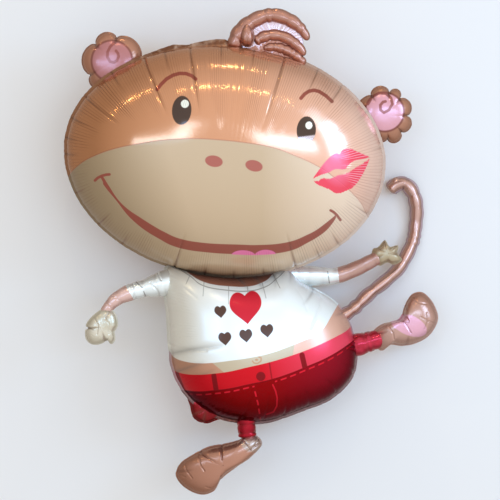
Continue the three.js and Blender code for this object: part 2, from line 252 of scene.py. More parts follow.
class Chamber:
    """Two sheets welded round a rim and blown up. It leans by lean degrees, with its rim raised in the
    direction that raised gives. outline is the outside of the weld and flange the weld's width. spine is a
    line through the centre that the puckers run in to, as its share of the width and its tilt. flare widens
    the weld here and there, as (angle, width) pairs. even makes the rows near the middle round."""

    def __init__(
        self, outline, centre, half_depth, plane, raised=0.0, lean=0.0, flange=WELD_FLANGE, spine=None,
        flare=None, even=False,
    ):
        self.outline = outline
        self.centre = np.array(centre, float)
        self.half_depth = half_depth
        self.plane = plane
        self.uphill = np.array([math.cos(math.radians(raised)), math.sin(math.radians(raised))])
        self.across = np.array([-self.uphill[1], self.uphill[0]])
        self.lean = math.radians(lean)
        self.flange = flange
        self.spine = spine
        self.flare = flare
        self.even = even

    def foot(self, offset):
        """Where the lines that run in from the rim end: the centre, or a spine along a wide chamber, so that
        they leave the rim squarely."""
        if self.spine is None:
            return np.zeros_like(offset)
        share, tilt = self.spine
        along = np.array([math.cos(math.radians(tilt)), -math.sin(math.radians(tilt))])
        return share * (offset @ along)[:, None] * along

    def weld_height(self, x, y):
        out = (np.stack([x, y], axis=-1) - self.centre) @ self.uphill
        return self.plane + out * math.tan(self.lean)

    def place(self, offset, height):
        """Points at an offset from the centre in the weld's outline, and a height off the weld plane."""
        cos, sin = math.cos(self.lean), math.sin(self.lean)
        along = offset @ self.uphill / cos
        level = offset @ self.across
        up_slope = (along * cos - height * sin)[..., None] * self.uphill
        flat = self.centre + level[..., None] * self.across + up_slope
        return np.concatenate([flat, (self.plane + along * sin + height * cos)[..., None]], axis=-1)

    def sheet(self, side, reaches, around, wrinkle):
        """One sheet as a grid of points, from near the middle out to the weld, with the marks of its folds
        and pleats, and how far each point was lifted."""
        offset = self.outline(around) - self.centre
        size = np.linalg.norm(offset, axis=1)
        offset = offset * ((size - self.flange) / size)[:, None]
        foot = self.foot(offset)
        reach = reaches[:, None]
        run = np.linalg.norm(offset - foot, axis=1)
        angles, along = rim_places(offset)
        lift, fold, pleats = wrinkle(side, reach, run, angles, along)
        inner = foot[None] + reach[..., None] * (offset - foot)[None]
        out = self.out_share(inner, offset)
        if self.even:
            inner = inner * (1 + (size.mean() / size - 1) * (1 - reach**3))[..., None]
            out = np.broadcast_to(reach, out.shape)
        swell = np.sqrt(np.maximum(0, 1 - out**3))
        grid = self.place(inner, side * np.maximum(FILM / 2, swell * self.half_depth))
        grid = grid + normals_of(grid) * side * lift[..., None]
        return grid, {"fold": fold, "pleats": pleats}, lift

    def out_share(self, inner, rim):
        """How far out points lie, from 0 at the centre to 1 at the rim in their own direction."""
        rim_angle = np.arctan2(rim[:, 1], rim[:, 0])
        rim_size = np.linalg.norm(rim, axis=1)
        angle = np.arctan2(inner[..., 1], inner[..., 0])
        turn = np.linspace(-np.pi, np.pi, DIRECTIONS, endpoint=False)
        evenly = np.interp(turn, rim_angle, rim_size, period=2 * np.pi)
        blur = np.exp(-((turn / ROUNDING) ** 2))
        spread = np.fft.fft(np.fft.ifftshift(blur / blur.sum()))
        softly = np.real(np.fft.ifft(np.fft.fft(evenly) * spread))
        size = np.linalg.norm(inner, axis=-1)
        sharp = size / np.interp(angle, rim_angle, rim_size, period=2 * np.pi)
        soft = size / np.interp(angle, turn, softly, period=2 * np.pi)
        near = np.clip(sharp, 0, 1) ** 4
        share = np.minimum(1, sharp * near + soft * (1 - near))
        share[-1] = 1.0
        return share

    def build(self, name, material, around, rings, wrinkle, coarse=0.3):
        """The whole closed chamber. Rows nearer the middle than the share coarse have fewer points."""
        reaches = np.sin((np.arange(rings) + 1) / rings * np.pi / 2)
        reaches[-1] = 1.0
        points, counts = [], []
        values = {label: [] for label in ("front", "rim", "fold", "pleats", "turn_cos", "turn_sin")}
        offset = self.outline(around) - self.centre
        _, along = rim_places(offset)
        turn = along / along[-1] * 2 * np.pi
        turn = turn - 0.09 * np.sin(2 * turn) + smooth_noise(around, 60, -0.003, 0.003)

        def add(row, side, reach, folds, pleats):
            step = 1 if reach > coarse else (2 if reach > coarse * 0.5 else 4)
            points.append(row[::step])
            counts.append(len(row[::step]))
            numbers = {
                "front": side, "rim": reach, "fold": folds, "pleats": pleats, "turn_cos": np.cos(turn),
                "turn_sin": np.sin(turn),
            }
            for label, number in numbers.items():
                values[label].append(np.broadcast_to(number, (around,))[::step])

        top, top_marks, top_lift = self.sheet(1, reaches, around, wrinkle)
        low, low_marks, low_lift = self.sheet(-1, reaches, around, wrinkle)
        size = np.linalg.norm(offset, axis=1)
        weld = top[-1] * 0.5 + low[-1] * 0.5
        ripple = (top_lift[-1] - low_lift[-1]) * 0.6
        outward = np.concatenate([offset / size[:, None], np.zeros((around, 1))], axis=1)
        wide = around_rim(self.flare, rim_places(offset)[0]) if self.flare else np.zeros(around)
        edge = weld + outward * (self.flange * (1 + 0.04 * ripple) + wide)[:, None]
        edge[:, 2] += ripple
        up = np.array([0, 0, FILM / 2])
        for k in range(rings - 1):
            add(top[k], 1.0, reaches[k], top_marks["fold"][k], top_marks["pleats"][k])
        for row, side, reach in (
            (weld + up, 1.0, 1.0), (edge + up, 1.0, FLANGE_RIM),
            (edge - up, -1.0, FLANGE_RIM), (weld - up, -1.0, 1.0),
        ):
            add(row, side, reach, top_marks["fold"][-1], top_marks["pleats"][-1])
        for k in reversed(range(rings - 1)):
            add(low[k], -1.0, reaches[k], low_marks["fold"][k], low_marks["pleats"][k])
        starts = np.cumsum([0] + counts)
        faces = stitched_faces(counts, starts)
        faces += closing_strip(0, counts[0])
        faces += [face[::-1] for face in closing_strip(int(starts[-2]), counts[-1])]
        joined = {label: np.concatenate(rows) for label, rows in values.items()}
        return make_mesh(name, np.vstack(points), faces, material, joined)


def rim_places(offset):
    """For each place round a rim, its direction from the centre in degrees and its way along the rim."""
    steps = np.linalg.norm(offset - np.roll(offset, 1, axis=0), axis=1)
    return np.degrees(np.arctan2(offset[:, 1], offset[:, 0])) % 360, np.cumsum(steps)


def around_rim(values, angles):
    """A value that changes smoothly round a rim through (angle, value) pairs."""
    marks, numbers = zip(*sorted(values))
    return np.interp(angles, marks, numbers, period=360)


def foil_wrinkles(pitch, creases, rim_height=1.2, far_height=0.16, length=55.0, pleating=1.0):
    """The wrinkles of a chamber, as a height off the smooth shape. There are sharp creases at named angles,
    as (angle, depth, reach in, half width), and fine puckers that stand straight in from the weld all round.
    The puckers are tall at the weld and die away over length, one number or (angle, length) pairs. pleating
    is how strongly the material's finest pleats show over that length, in the same two forms."""
    run = length if isinstance(length, (list, tuple)) else [(0, length)]
    strength_round = pleating if isinstance(pleating, (list, tuple)) else [(0, pleating)]

    def wrinkle(side, reach, size, angles, along):
        around, rim_length = len(along), along[-1]
        inward = (1 - reach) * size
        lift = np.zeros_like(inward)
        fold = np.zeros_like(inward)
        far = around_rim(run, angles)
        for widen, near, tall, reach_share in PUCKER_LAYERS:
            cells = max(6, int(rim_length / (pitch * widen)))
            ridge, strength = puckers(around, cells)
            own = smooth_noise(around, max(5, cells // 2), 0.5, 1.25) * far * reach_share
            body_fade = np.clip(1 - inward / own, 0, 1)
            height = near * rim_height * np.exp(-inward / (9.0 * widen**0.5)) + tall * far_height * body_fade
            lift = lift + (ridge - 0.62) * strength * height
        for degrees, depth, deep, wide in creases:
            start = along[np.argmax(np.cos(np.radians(angles - degrees - side)))]
            apart = np.abs(along - start)
            apart = np.minimum(apart, rim_length - apart) * np.maximum(reach, 0.2)
            fade = np.clip(1 - (inward / deep) ** 2, 0, 1)
            valley = np.exp(-((apart / wide) ** 1.2)) - 0.25 * np.exp(-((apart / (wide * 3.2)) ** 2))
            lift = lift - depth * valley * fade
            fold = np.maximum(fold, np.exp(-((apart / wide) ** 1.2)) * fade)
        lift = lift * np.minimum(1, 0.45 + inward / 9)
        own = far * smooth_noise(around, 90, 0.72, 1.1)
        showing = np.clip((1 - inward / own) * 3.5, 0, 1) * np.minimum(1, inward / 5)
        pleats = showing * around_rim(strength_round, angles) * smooth_noise(around, 110, 0.15, 1.5)
        return lift, fold, pleats

    return wrinkle


def tube(name, material, path, widths, depths, steps, around=28, flange=0.0, crinkle=0.0, pitch=9.0):
    """A blown-up tube along a path, with creases across it. A flange is a flat welded edge each side."""
    centre = spline(path, steps)
    forward = np.gradient(centre, axis=0)
    forward /= np.linalg.norm(forward, axis=1, keepdims=True)
    side = np.stack([forward[:, 1], -forward[:, 0], np.zeros(steps)], axis=1)
    side /= np.linalg.norm(side, axis=1, keepdims=True)
    way = np.linspace(0, 1, steps)
    half = np.interp(way, np.linspace(0, 1, len(widths)), widths)
    deep = np.interp(way, np.linspace(0, 1, len(depths)), depths)
    length = float(np.sum(np.linalg.norm(np.diff(centre, axis=0), axis=1)))
    ends = np.minimum(1, np.minimum(way, 1 - way) * length / 7.0)
    ends = np.sqrt(np.maximum(0, 1 - (1 - ends) ** 2))
    cells = max(2, int(length / pitch))
    ridge, strength = puckers(steps, cells, 0.6)
    ridge_two, strength_two = puckers(steps, max(2, int(cells * 1.7)), 0.6)
    angles = np.arange(around) / around * 2 * np.pi
    rows, folds, fronts, rims = [], [], [], []
    for step in range(steps):
        edge = np.abs(np.cos(angles)) ** 1.5
        front = np.sin(angles) >= 0
        face_rise = (ridge[step] - 0.7) * strength[step]
        back_rise = (ridge_two[step] - 0.7) * strength_two[step]
        rise = np.where(front, face_rise, back_rise)
        wrinkle = crinkle * rise * (0.25 + 0.75 * edge)
        out = half[step] * np.cos(angles) + np.cos(angles) * wrinkle
        up = deep[step] * np.sin(angles) + np.sin(angles) * wrinkle
        if flange:
            fin = np.abs(np.cos(angles)) > 0.999
            out = out + np.sign(np.cos(angles)) * fin * (flange + 0.5 * wrinkle)
            up = np.where(fin, wrinkle * 0.6, up)
        row = centre[step] + (side[step] * (out * ends[step])[:, None])
        row[:, 2] += up * ends[step]
        rows.append(row)
        folds.append(np.maximum(0, -wrinkle) / max(crinkle, 0.1))
        fronts.append(np.where(front, 1.0, -1.0))
        rims.append(np.where(edge > 0.998, FIN_RIM if flange else 1.0, np.abs(np.cos(angles))))
    counts = [around] * steps
    starts = np.cumsum([1] + counts)
    faces = stitched_faces(counts, starts)
    faces = [face[::-1] for face in faces]
    faces += [(0, 1 + (k + 1) % around, 1 + k) for k in range(around)]
    last, final = int(starts[-1]), int(starts[-2])
    faces += [(last, final + k, final + (k + 1) % around) for k in range(around)]
    values = {
        "front": np.concatenate([[1.0], *fronts, [1.0]]),
        "rim": np.concatenate([[0.0], *rims, [0.0]]),
        "fold": np.concatenate([[0.0], *folds, [0.0]]),
    }
    return make_mesh(name, np.vstack([centre[:1], *rows, centre[-1:]]), faces, material, values)


# Materials


class Wire:
    """A node's socket. The operators on it add the Math nodes of an expression."""

    def __init__(self, tree, socket):
        self.tree = tree
        self.socket = socket

    def maths(self, operation, *others, clamp=False):
        node = self.tree.nodes.new("ShaderNodeMath")
        node.operation = operation
        node.use_clamp = clamp
        for slot, value in zip(node.inputs, (self, *others)):
            if isinstance(value, Wire):
                self.tree.links.new(value.socket, slot)
            else:
                slot.default_value = value
        return Wire(self.tree, node.outputs[0])

    def __add__(self, other):
        return self.maths("ADD", other)

    def __sub__(self, other):
        return self.maths("SUBTRACT", other)

    def __mul__(self, other):
        return self.maths("MULTIPLY", other)

    def __truediv__(self, other):
        return self.maths("DIVIDE", other)

    def __rtruediv__(self, other):
        return self.maths("POWER", -1.0) * other

    def __rsub__(self, other):
        return (self * -1).maths("ADD", other)

    def __neg__(self):
        return self * -1

    def __abs__(self):
        return self.maths("ABSOLUTE")

    __radd__ = __add__
    __rmul__ = __mul__

    def low(self, other):
        return self.maths("MINIMUM", other)

    def high(self, other):
        return self.maths("MAXIMUM", other)

    def sine(self):
        return self.maths("SINE")

    def root(self):
        return self.maths("SQRT")

    def clamped(self):
        return self.maths("MULTIPLY", 1.0, clamp=True)


class Foil:
    """A printed foil material under construction. Its wires x and y are millimetres on the plan, as seen from
    the height of the camera, so that a print on the high front lands where the photograph has it."""

    def __init__(self, name):
        self.material = bpy.data.materials.new(name)
        self.material.use_nodes = True
        self.tree = self.material.node_tree
        self.shader = self.tree.nodes["Principled BSDF"]
        place = self.node("ShaderNodeTexCoord", out="Object")
        self.place = place
        parts = self.tree.nodes.new("ShaderNodeSeparateXYZ")
        self.tree.links.new(place.socket, parts.inputs[0])
        (eye_x, eye_y), = px([(250, 250)]).tolist()
        nearer = VIEW_DISTANCE / (VIEW_DISTANCE + VIEW_LEVEL - Wire(self.tree, parts.outputs[2]) / MM)
        self.x = (Wire(self.tree, parts.outputs[0]) / MM - float(SHIFT[0] + eye_x)) * nearer + eye_x
        self.y = (Wire(self.tree, parts.outputs[1]) / MM - float(SHIFT[1] + eye_y)) * nearer + eye_y
        self.front = self.value("front")
        self.rim = self.value("rim")
        self.fold = self.value("fold")
        self.facing = (self.front * 40).clamped()

    def node(self, kind, settings=None, inputs=None, out=0):
        node = self.tree.nodes.new(kind)
        for label, value in (settings or {}).items():
            setattr(node, label, value)
        for label, value in (inputs or {}).items():
            if isinstance(value, Wire):
                self.tree.links.new(value.socket, node.inputs[label])
            else:
                node.inputs[label].default_value = value
        return Wire(self.tree, node.outputs[out])

    def flange(self):
        """1 on the flat welded edge."""
        return ((self.rim - 1.0) * 40).clamped()

    def near_rim(self, start):
        """From 0 at a share of the way out to 1 at the weld."""
        return ((self.rim - start) * (1 / (1 - start))).clamped()

    def pleats(self, count, height):
        """The fine pleats that run in from the weld, count of them in all: the height of rounded ridges, in
        millimetres, and a mask of the valleys between them."""
        turn = self.value("turn_sin").maths("ARCTAN2", self.value("turn_cos"))
        ridge = abs((turn * (count / 2)).sine())
        showing = self.value("pleats")
        return ridge * showing * height, ((0.55 - ridge) * showing).clamped()

    def value(self, label):
        return self.node("ShaderNodeAttribute", {"attribute_name": label}, out="Fac")

    def noise(self, size, detail=3.0, rough=0.5, out="Fac", stretch=None):
        """Noise whose blobs are about size millimetres across."""
        place = self.place
        if stretch:
            place = self.node(
                "ShaderNodeVectorMath", {"operation": "MULTIPLY"}, {0: self.place, 1: stretch}, out=0
            )
        return self.node(
            "ShaderNodeTexNoise",
            None,
            {"Vector": place, "Scale": 1 / (size * MM), "Detail": detail, "Roughness": rough},
            out=out,
        )

    def mix(self, factor, first, second):
        """first where the factor is 0 and second where it is 1."""
        node = self.tree.nodes.new("ShaderNodeMix")
        node.data_type = "RGBA"
        for index, value in ((0, factor), (6, first), (7, second)):
            if isinstance(value, Wire):
                self.tree.links.new(value.socket, node.inputs[index])
            else:
                node.inputs[index].default_value = value
        return Wire(self.tree, node.outputs[2])

    def inside(self, distance, soft=1.2):
        """1 where a signed distance in millimetres is negative, with a soft edge."""
        return (distance * (-1 / soft)).maths("ADD", 0.5, clamp=True)

    def oval(self, centre, half, tilt=0.0, soft=1.2):
        """A mask of a tilted ellipse. centre is a pixel of the photograph, half its half sizes in pixels."""
        (cx, cy), = px([centre])
        cos, sin = math.cos(math.radians(tilt)), math.sin(math.radians(tilt))
        dx, dy = self.x - float(cx), self.y - float(cy)
        along = (dx * cos + dy * -sin) / (half[0] * PIXEL)
        across = (dx * sin + dy * cos) / (half[1] * PIXEL)
        away = (along * along + across * across).root() - 1
        return self.inside(away * (min(half) * PIXEL), soft)

    def curve(self, points, along=None):
        """The height in millimetres of a curve through pixels of the photograph, over the plan's x."""
        points = px(points)
        (x0, y0), (x1, y1) = points.min(axis=0), points.max(axis=0)
        y1 = max(y1, y0 + 1e-3)
        node = self.tree.nodes.new("ShaderNodeFloatCurve")
        line = node.mapping.curves[0]
        for k, (cx, cy) in enumerate(sorted(points.tolist())):
            spot = ((cx - x0) / (x1 - x0), (cy - y0) / (y1 - y0))
            if k < 2:
                line.points[k].location = spot
            else:
                line.points.new(*spot)
        node.mapping.use_clip = False
        node.mapping.extend = "EXTRAPOLATED"
        node.mapping.update()
        where = (self.x if along is None else along) - float(x0)
        self.tree.links.new((where * float(1 / (x1 - x0))).socket, node.inputs["Value"])
        return Wire(self.tree, node.outputs[0]) * float(y1 - y0) + float(y0)

    def stroke(self, points, width, soft=1.2):
        """A line along a curve that is a function of x, between its two ends, width pixels wide."""
        ends = px([points[0], points[-1]])
        left, right = sorted(ends[:, 0].tolist())
        line = abs(self.y - self.curve(points)) - width * PIXEL / 2
        return self.inside(line, soft) * self.between(self.x, left, right)

    def path(self, points, width, soft=1.2):
        """A line of any shape through pixels of the photograph, width pixels wide."""
        painted_glints = px(points)
        nearest = None
        for (ax, ay), (bx, by) in zip(painted_glints.tolist(), painted_glints[1:].tolist()):
            run, rise = bx - ax, by - ay
            size = run * run + rise * rise
            dx, dy = self.x - ax, self.y - ay
            way = (dx * (run / size) + dy * (rise / size)).clamped()
            off_x, off_y = dx - way * run, dy - way * rise
            away = off_x * off_x + off_y * off_y
            nearest = away if nearest is None else nearest.low(away)
        return self.inside(nearest.root() - width * PIXEL / 2, soft)

    def past(self, start, end, soft=1.2):
        """1 on the left of a straight line from one pixel of the photograph to another."""
        (ax, ay), (bx, by) = px([start, end]).tolist()
        size = math.hypot(bx - ax, by - ay)
        return self.inside((self.x - ax) * ((by - ay) / size) + (self.y - ay) * ((ax - bx) / size), soft)

    def dashes(self, wire, length, share=0.62):
        """1 on the dashes of a stitched line that runs along the wire, one in each length pixels."""
        return self.inside((wire / (length * PIXEL)).maths("FRACT") - share, 0.1)

    def between(self, wire, low, high, soft=1.2):
        return self.inside(low - wire, soft) * self.inside(wire - high, soft)

    def finish(self, colour, rough, metallic, relief, coat=0.25, edge=(1, 1, 1, 1)):
        """The finished material. relief is a height in millimetres, and edge tints what the foil mirrors at
        a slant."""
        tree, shader = self.tree, self.shader
        varying = (
            ("Base Color", colour), ("Roughness", rough), ("Metallic", metallic), ("Coat Weight", coat),
        )
        for label, value in varying:
            if isinstance(value, Wire):
                tree.links.new(value.socket, shader.inputs[label])
            else:
                shader.inputs[label].default_value = value
        shader.inputs["Specular Tint"].default_value = edge
        shader.inputs["Coat Roughness"].default_value = 0.08
        bump = self.node(
            "ShaderNodeBump", None, {"Strength": 1.0, "Distance": MM, "Height": relief}, out="Normal"
        )
        tree.links.new(bump.socket, shader.inputs["Normal"])
        return self.material


SKIN = srgb(216, 156, 118)
SKIN_TAN = srgb(194, 133, 90)
SKIN_PEACH = srgb(242, 196, 172)
CREAM = srgb(203, 176, 142)
CREAM_LIGHT = srgb(236, 211, 184)
CREAM_PAINTED_SHADE = srgb(132, 112, 80)
LINE_BROWN = srgb(150, 66, 54)
NOSTRIL = srgb(176, 98, 84)
EYE = srgb(62, 38, 22)
EYE_PAINTED_GLARE = srgb(206, 186, 184)
EYE_LIGHT = srgb(240, 244, 232)
TONGUE = srgb(232, 122, 164)
KISS = srgb(238, 72, 92)
KISS_PAINTED_HIGHLIGHT_PINK = srgb(250, 150, 186)
KISS_PALE = srgb(255, 178, 190)
CHEEK_PAINTED_LIGHT = srgb(252, 224, 208)
# A brown used for painted shade in creases, pleat valleys and near the weld.
PAINTED_SHADE_BROWN = srgb(116, 70, 44)
LOOSE_EDGE_DARK = srgb(150, 98, 70)
LOOSE_EDGE_PALE = srgb(222, 184, 158)
# The left ear's darker pink and the right ear's lighter pink are shaded and lit copies of one printed pink:
# painted shade and painted light.
EAR_PINK = srgb(178, 116, 114)
RIGHT_EAR_PINK_PAINTED_LIGHT = srgb(216, 158, 168)
EAR_BROWN = srgb(176, 122, 95)
EAR_RING = srgb(136, 78, 66)
EAR_CURL = srgb(142, 74, 64)
EAR_CREASE_SHADE = srgb(110, 68, 54)
SHIRT = srgb(236, 241, 238)
SHIRT_SHADE = srgb(232, 228, 214)
SHIRT_LINE_AND_CREASE_SHADE = srgb(120, 118, 112)
NECK_BROWN = srgb(150, 98, 78)
BELLY_CREAM = srgb(196, 180, 152)
BELLY_BROWN = srgb(196, 146, 118)
BELLY_PEACH = srgb(226, 180, 158)
NAVEL = srgb(190, 140, 104)
WAISTBAND = srgb(206, 4, 24)
WAISTBAND_LIGHT = srgb(238, 74, 98)
LOOP_RED = srgb(132, 2, 12)
TROUSERS = srgb(142, 0, 5)
TROUSERS_ROSE = srgb(150, 20, 42)
RIM_PAINTED_SHADE_PURPLE = srgb(58, 4, 22)
STITCH = srgb(226, 36, 56)
FLANGE_SILVER = srgb(206, 178, 184)
FLANGE_PALE = srgb(226, 204, 188)
HEART_RED = srgb(206, 30, 48)
HEART_BROWN = srgb(84, 58, 44)
HAND = srgb(228, 220, 202)
HAND_SHADE = srgb(178, 166, 136)
HAND_NOTCH = srgb(128, 112, 88)
STAR_HAND = srgb(196, 180, 150)
STAR_HAND_SHADE = srgb(170, 152, 120)
LIMB = srgb(194, 152, 134)
LIMB_ROSE = srgb(208, 170, 160)
LIMB_CREASE_SHADE = srgb(120, 78, 66)
# A lighter copy of the arm colour for the left arm: a painted highlight.
LEFT_ARM_PAINTED_LIGHT = srgb(228, 192, 178)
RIGHT_ARM = srgb(180, 138, 120)
FOOT_BROWN = srgb(168, 116, 92)
FOOT_TAN = srgb(184, 132, 110)
FOOT_ROSE = srgb(194, 154, 140)
ANKLE_GREY = srgb(180, 154, 138)
SOLE_PINK = srgb(226, 172, 190)
SOLE_CREASE_SHADE = srgb(170, 110, 124)
LEG_RED = srgb(206, 18, 46)
LEG_DARK = srgb(110, 0, 20)
# The right leg's red lightened to pink: a painted highlight.
LEG_PINK_PAINTED_HIGHLIGHT = srgb(230, 66, 94)
LEG_PINK_DARK = srgb(140, 0, 22)
HAIR = srgb(174, 119, 98)
HAIR_ROSE = srgb(186, 138, 122)
WEB = srgb(206, 182, 184)
WEB_PINK = srgb(224, 198, 204)


# Short creases that run out from the shirt's neck, as paths of pixels. They are drawn as faint dark lines,
# which is painted shade.
COLLAR_CREASES = [
    [(190, 275), (186, 284)], [(204, 282), (203, 296)], [(228.6, 286), (228.6, 304)], [(247.6, 286),
    (248, 303)], [(262, 282), (266, 298)], [(273, 274), (280, 288)],
]


# Soft folds across the shirt and the waist, each as a path of pixels, its width in pixels and its depth in
# millimetres.
SHIRT_FOLDS = [
    ([(306, 279), (314, 287), (320, 296), (320, 306), (316, 317), (311, 328)], 1.2, 1.6),
    ([(296, 288), (303, 298), (307, 310)], 1.0, 0.7),
    ([(169, 344), (176, 347), (184, 349), (196, 351), (206, 351)], 1.2, 1.3),
    ([(172, 284), (184, 288), (196, 298)], 1.0, 0.7),
    ([(350, 305), (344, 312), (342, 322)], 1.0, 1.0),
]


def fine_crumple(foil):
    """The small dents of thin film."""
    return foil.noise(7.0, 4.0, 0.55) + foil.noise(24.0, 2.0, 0.5) * 1.5


def face_material():
    foil = Foil("printed head foil")
    x, y, facing = foil.x, foil.y, foil.facing
    skin = foil.mix(((x + 20) * 0.0042).clamped(), SKIN, SKIN_PEACH)
    skin = foil.mix(((-x - 60) * 0.0040).clamped(), skin, SKIN_TAN)
    muzzle_top = foil.curve(
        [(66, 180), (80, 164), (94, 156), (117, 148), (140, 143.5), (163, 140), (192, 138.6), (221, 140),
         (240, 142), (271, 147), (291, 154), (319, 167), (336, 179), (350, 191), (360, 202), (366, 214),
         (372, 226)]
    )
    muzzle = foil.inside(y - muzzle_top, 1.6) * facing
    cream = foil.mix(((x - 20) * 0.006).clamped(), CREAM, CREAM_LIGHT)
    # The muzzle's cream darkens to olive towards the lower left: painted shade.
    cream = foil.mix(((-x - 100 - y * 0.35) * 0.0037).clamped(), cream, CREAM_PAINTED_SHADE)
    colour = foil.mix(muzzle, skin, cream)
    border = foil.inside(abs(y - muzzle_top) - 1.0) * facing
    colour = foil.mix(border * 0.45, colour, LINE_BROWN)
    lines = brows(foil).high(smile(foil))
    colour = foil.mix(lines * facing * 0.92, colour, LINE_BROWN)
    tongue = foil.oval((243.5, 256.5), (12.5, 6.2), 2).high(foil.oval((265.5, 256), (11, 6.2), -2))
    under_lip = foil.inside(y - lower_lip(foil) + 1.0)
    colour = foil.mix(tongue * (1 - under_lip) * facing, colour, TONGUE)
    nostrils = foil.oval((213.9, 161.2), (8.9, 5.7), 10).high(foil.oval((254, 165.8), (8.8, 5.6), 14))
    colour = foil.mix(nostrils * facing, colour, NOSTRIL)
    eyes = foil.oval((181.7, 110.3), (9.7, 14.5), 4).high(foil.oval((306.3, 130.1), (9.6, 13.8), 4))
    colour = with_eyes(foil, colour, eyes)
    kiss = lips(foil) * facing
    # A soft pink patch on the right of the kiss mark: a painted highlight.
    glare = foil.oval((332, 162), (20, 12), 60, soft=22.0)
    colour = foil.mix(kiss, colour, foil.mix(glare * 0.55, KISS, KISS_PAINTED_HIGHLIGHT_PINK))
    # Darker along the deep creases: painted shade.
    colour = foil.mix((foil.fold * foil.fold * 0.8).clamped(), colour, PAINTED_SHADE_BROWN)
    cheek = ((x - 150) * 0.010).clamped() * facing
    # Darker towards the weld, less so on the right cheek: painted shade.
    colour = foil.mix(foil.near_rim(0.86) * 0.14 * (1 - cheek), colour, PAINTED_SHADE_BROWN)
    # Paler towards the weld on the right cheek: painted light.
    colour = foil.mix(foil.near_rim(0.6) * cheek * 0.6 * (1 - kiss), colour, CHEEK_PAINTED_LIGHT)
    pale = foil.flange() * (0.1 + ((x + 60) * 0.006).clamped() * 0.45) * facing
    colour = foil.mix(pale, colour, FLANGE_PALE)
    mottled = ((foil.noise(18.0, 3.0, 0.6) - 0.42) * 5).clamped()
    brown = foil.mix(mottled, LOOSE_EDGE_DARK, LOOSE_EDGE_PALE)
    colour = foil.mix(foil.flange() * ((y - 385) * 0.05).clamped(), colour, brown)
    metal = 0.66 - muzzle.high(kiss).high(cheek * 0.5) * 0.42 + eyes * facing * 0.24
    rough = 0.13 + muzzle * 0.25 + ((x - 40) * 0.002).clamped() * 0.12 + foil.noise(60.0, 3.0) * 0.04
    ridges, valleys = foil.pleats(300, 0.22)
    # Darker in the valleys of the pleats: painted shade.
    colour = foil.mix(valleys * (0.78 - cheek * 0.52) * (1 - kiss), colour, PAINTED_SHADE_BROWN)
    colour = foil.mix((valleys * kiss * 1.6).clamped(), colour, KISS_PALE)
    relief = fine_crumple(foil) * 0.05 + ridges
    return foil.finish(colour, rough, metal, relief, 0.3 + eyes * facing * 0.7, (0.80, 0.62, 0.50, 1))


def brows(foil):
    left = foil.path(
        [(157, 89.6), (161, 84.4), (166.5, 79), (173, 75.2), (179.5, 73.4), (186, 73.6), (191.5, 75.6),
         (195.6, 79)],
        3.6,
    )
    right = foil.path(
        [(301, 98.2), (304.6, 94), (309, 91.2), (314, 90.2), (319, 91.4), (326, 95.8), (332, 101.4)], 3.6
    )
    return left.high(right)


def with_eyes(foil, colour, eyes):
    """Two dark eyes, each with a spot of light. The right one has a pale painted reflection low down."""
    lights = foil.oval((184.9, 103.8), (4.0, 4.1)).high(foil.oval((308.9, 125.4), (3.5, 3.8)))
    colour = foil.mix(eyes * foil.facing, colour, EYE)
    # The pale colour low on the right eye is a painted reflection.
    painted_glare = eyes * foil.past((314.5, 135.0), (297.0, 137.4), 3.0)
    colour = foil.mix(painted_glare * foil.facing * 0.9, colour, EYE_PAINTED_GLARE)
    return foil.mix(lights * foil.facing, colour, EYE_LIGHT)


def upper_lip(foil):
    return foil.curve(
        [(100, 172), (104, 178), (109, 186), (119.7, 201.5), (129, 210), (140.4, 217.6), (152, 225),
         (163.3, 231.4), (180.5, 238.8), (203.5, 242.8), (240, 244.6), (258, 245), (286, 242.5), (309, 234),
         (317, 229.6), (322, 226), (328, 221.3), (334, 216.4), (340, 210.6)]
    )


def lower_lip(foil):
    return foil.curve(
        [(96, 172), (103, 184), (115, 199), (134.6, 222), (157.6, 238), (179.4, 248), (209, 252.6),
         (240, 254.3), (258, 254.6), (287.6, 251.4), (309, 242), (320, 235.4), (326.8, 230), (331, 225.2),
         (334.5, 220.4), (337, 216), (344, 206)]
    )


def smile(foil):
    """The wide line of the mouth, with a short stroke across each end."""
    (left, _), (right, _) = px([(103, 180), (336, 214)]).tolist()
    mouth = foil.inside(foil.y - upper_lip(foil)) * foil.inside(lower_lip(foil) - foil.y)
    mouth = mouth * foil.between(foil.x, left, right)
    left_cap = foil.path([(95, 180.4), (98, 177.7), (102, 175.8), (106, 174.7), (109.4, 174.4)], 2.8)
    right_cap = foil.path([(330.6, 210.4), (333.8, 212.2), (337, 215.2), (340.4, 220)], 2.6)
    left_end = foil.path([(101.4, 176.4), (104.4, 182), (109, 190)], 2.6)
    return mouth.high(left_cap).high(right_cap).high(left_end)


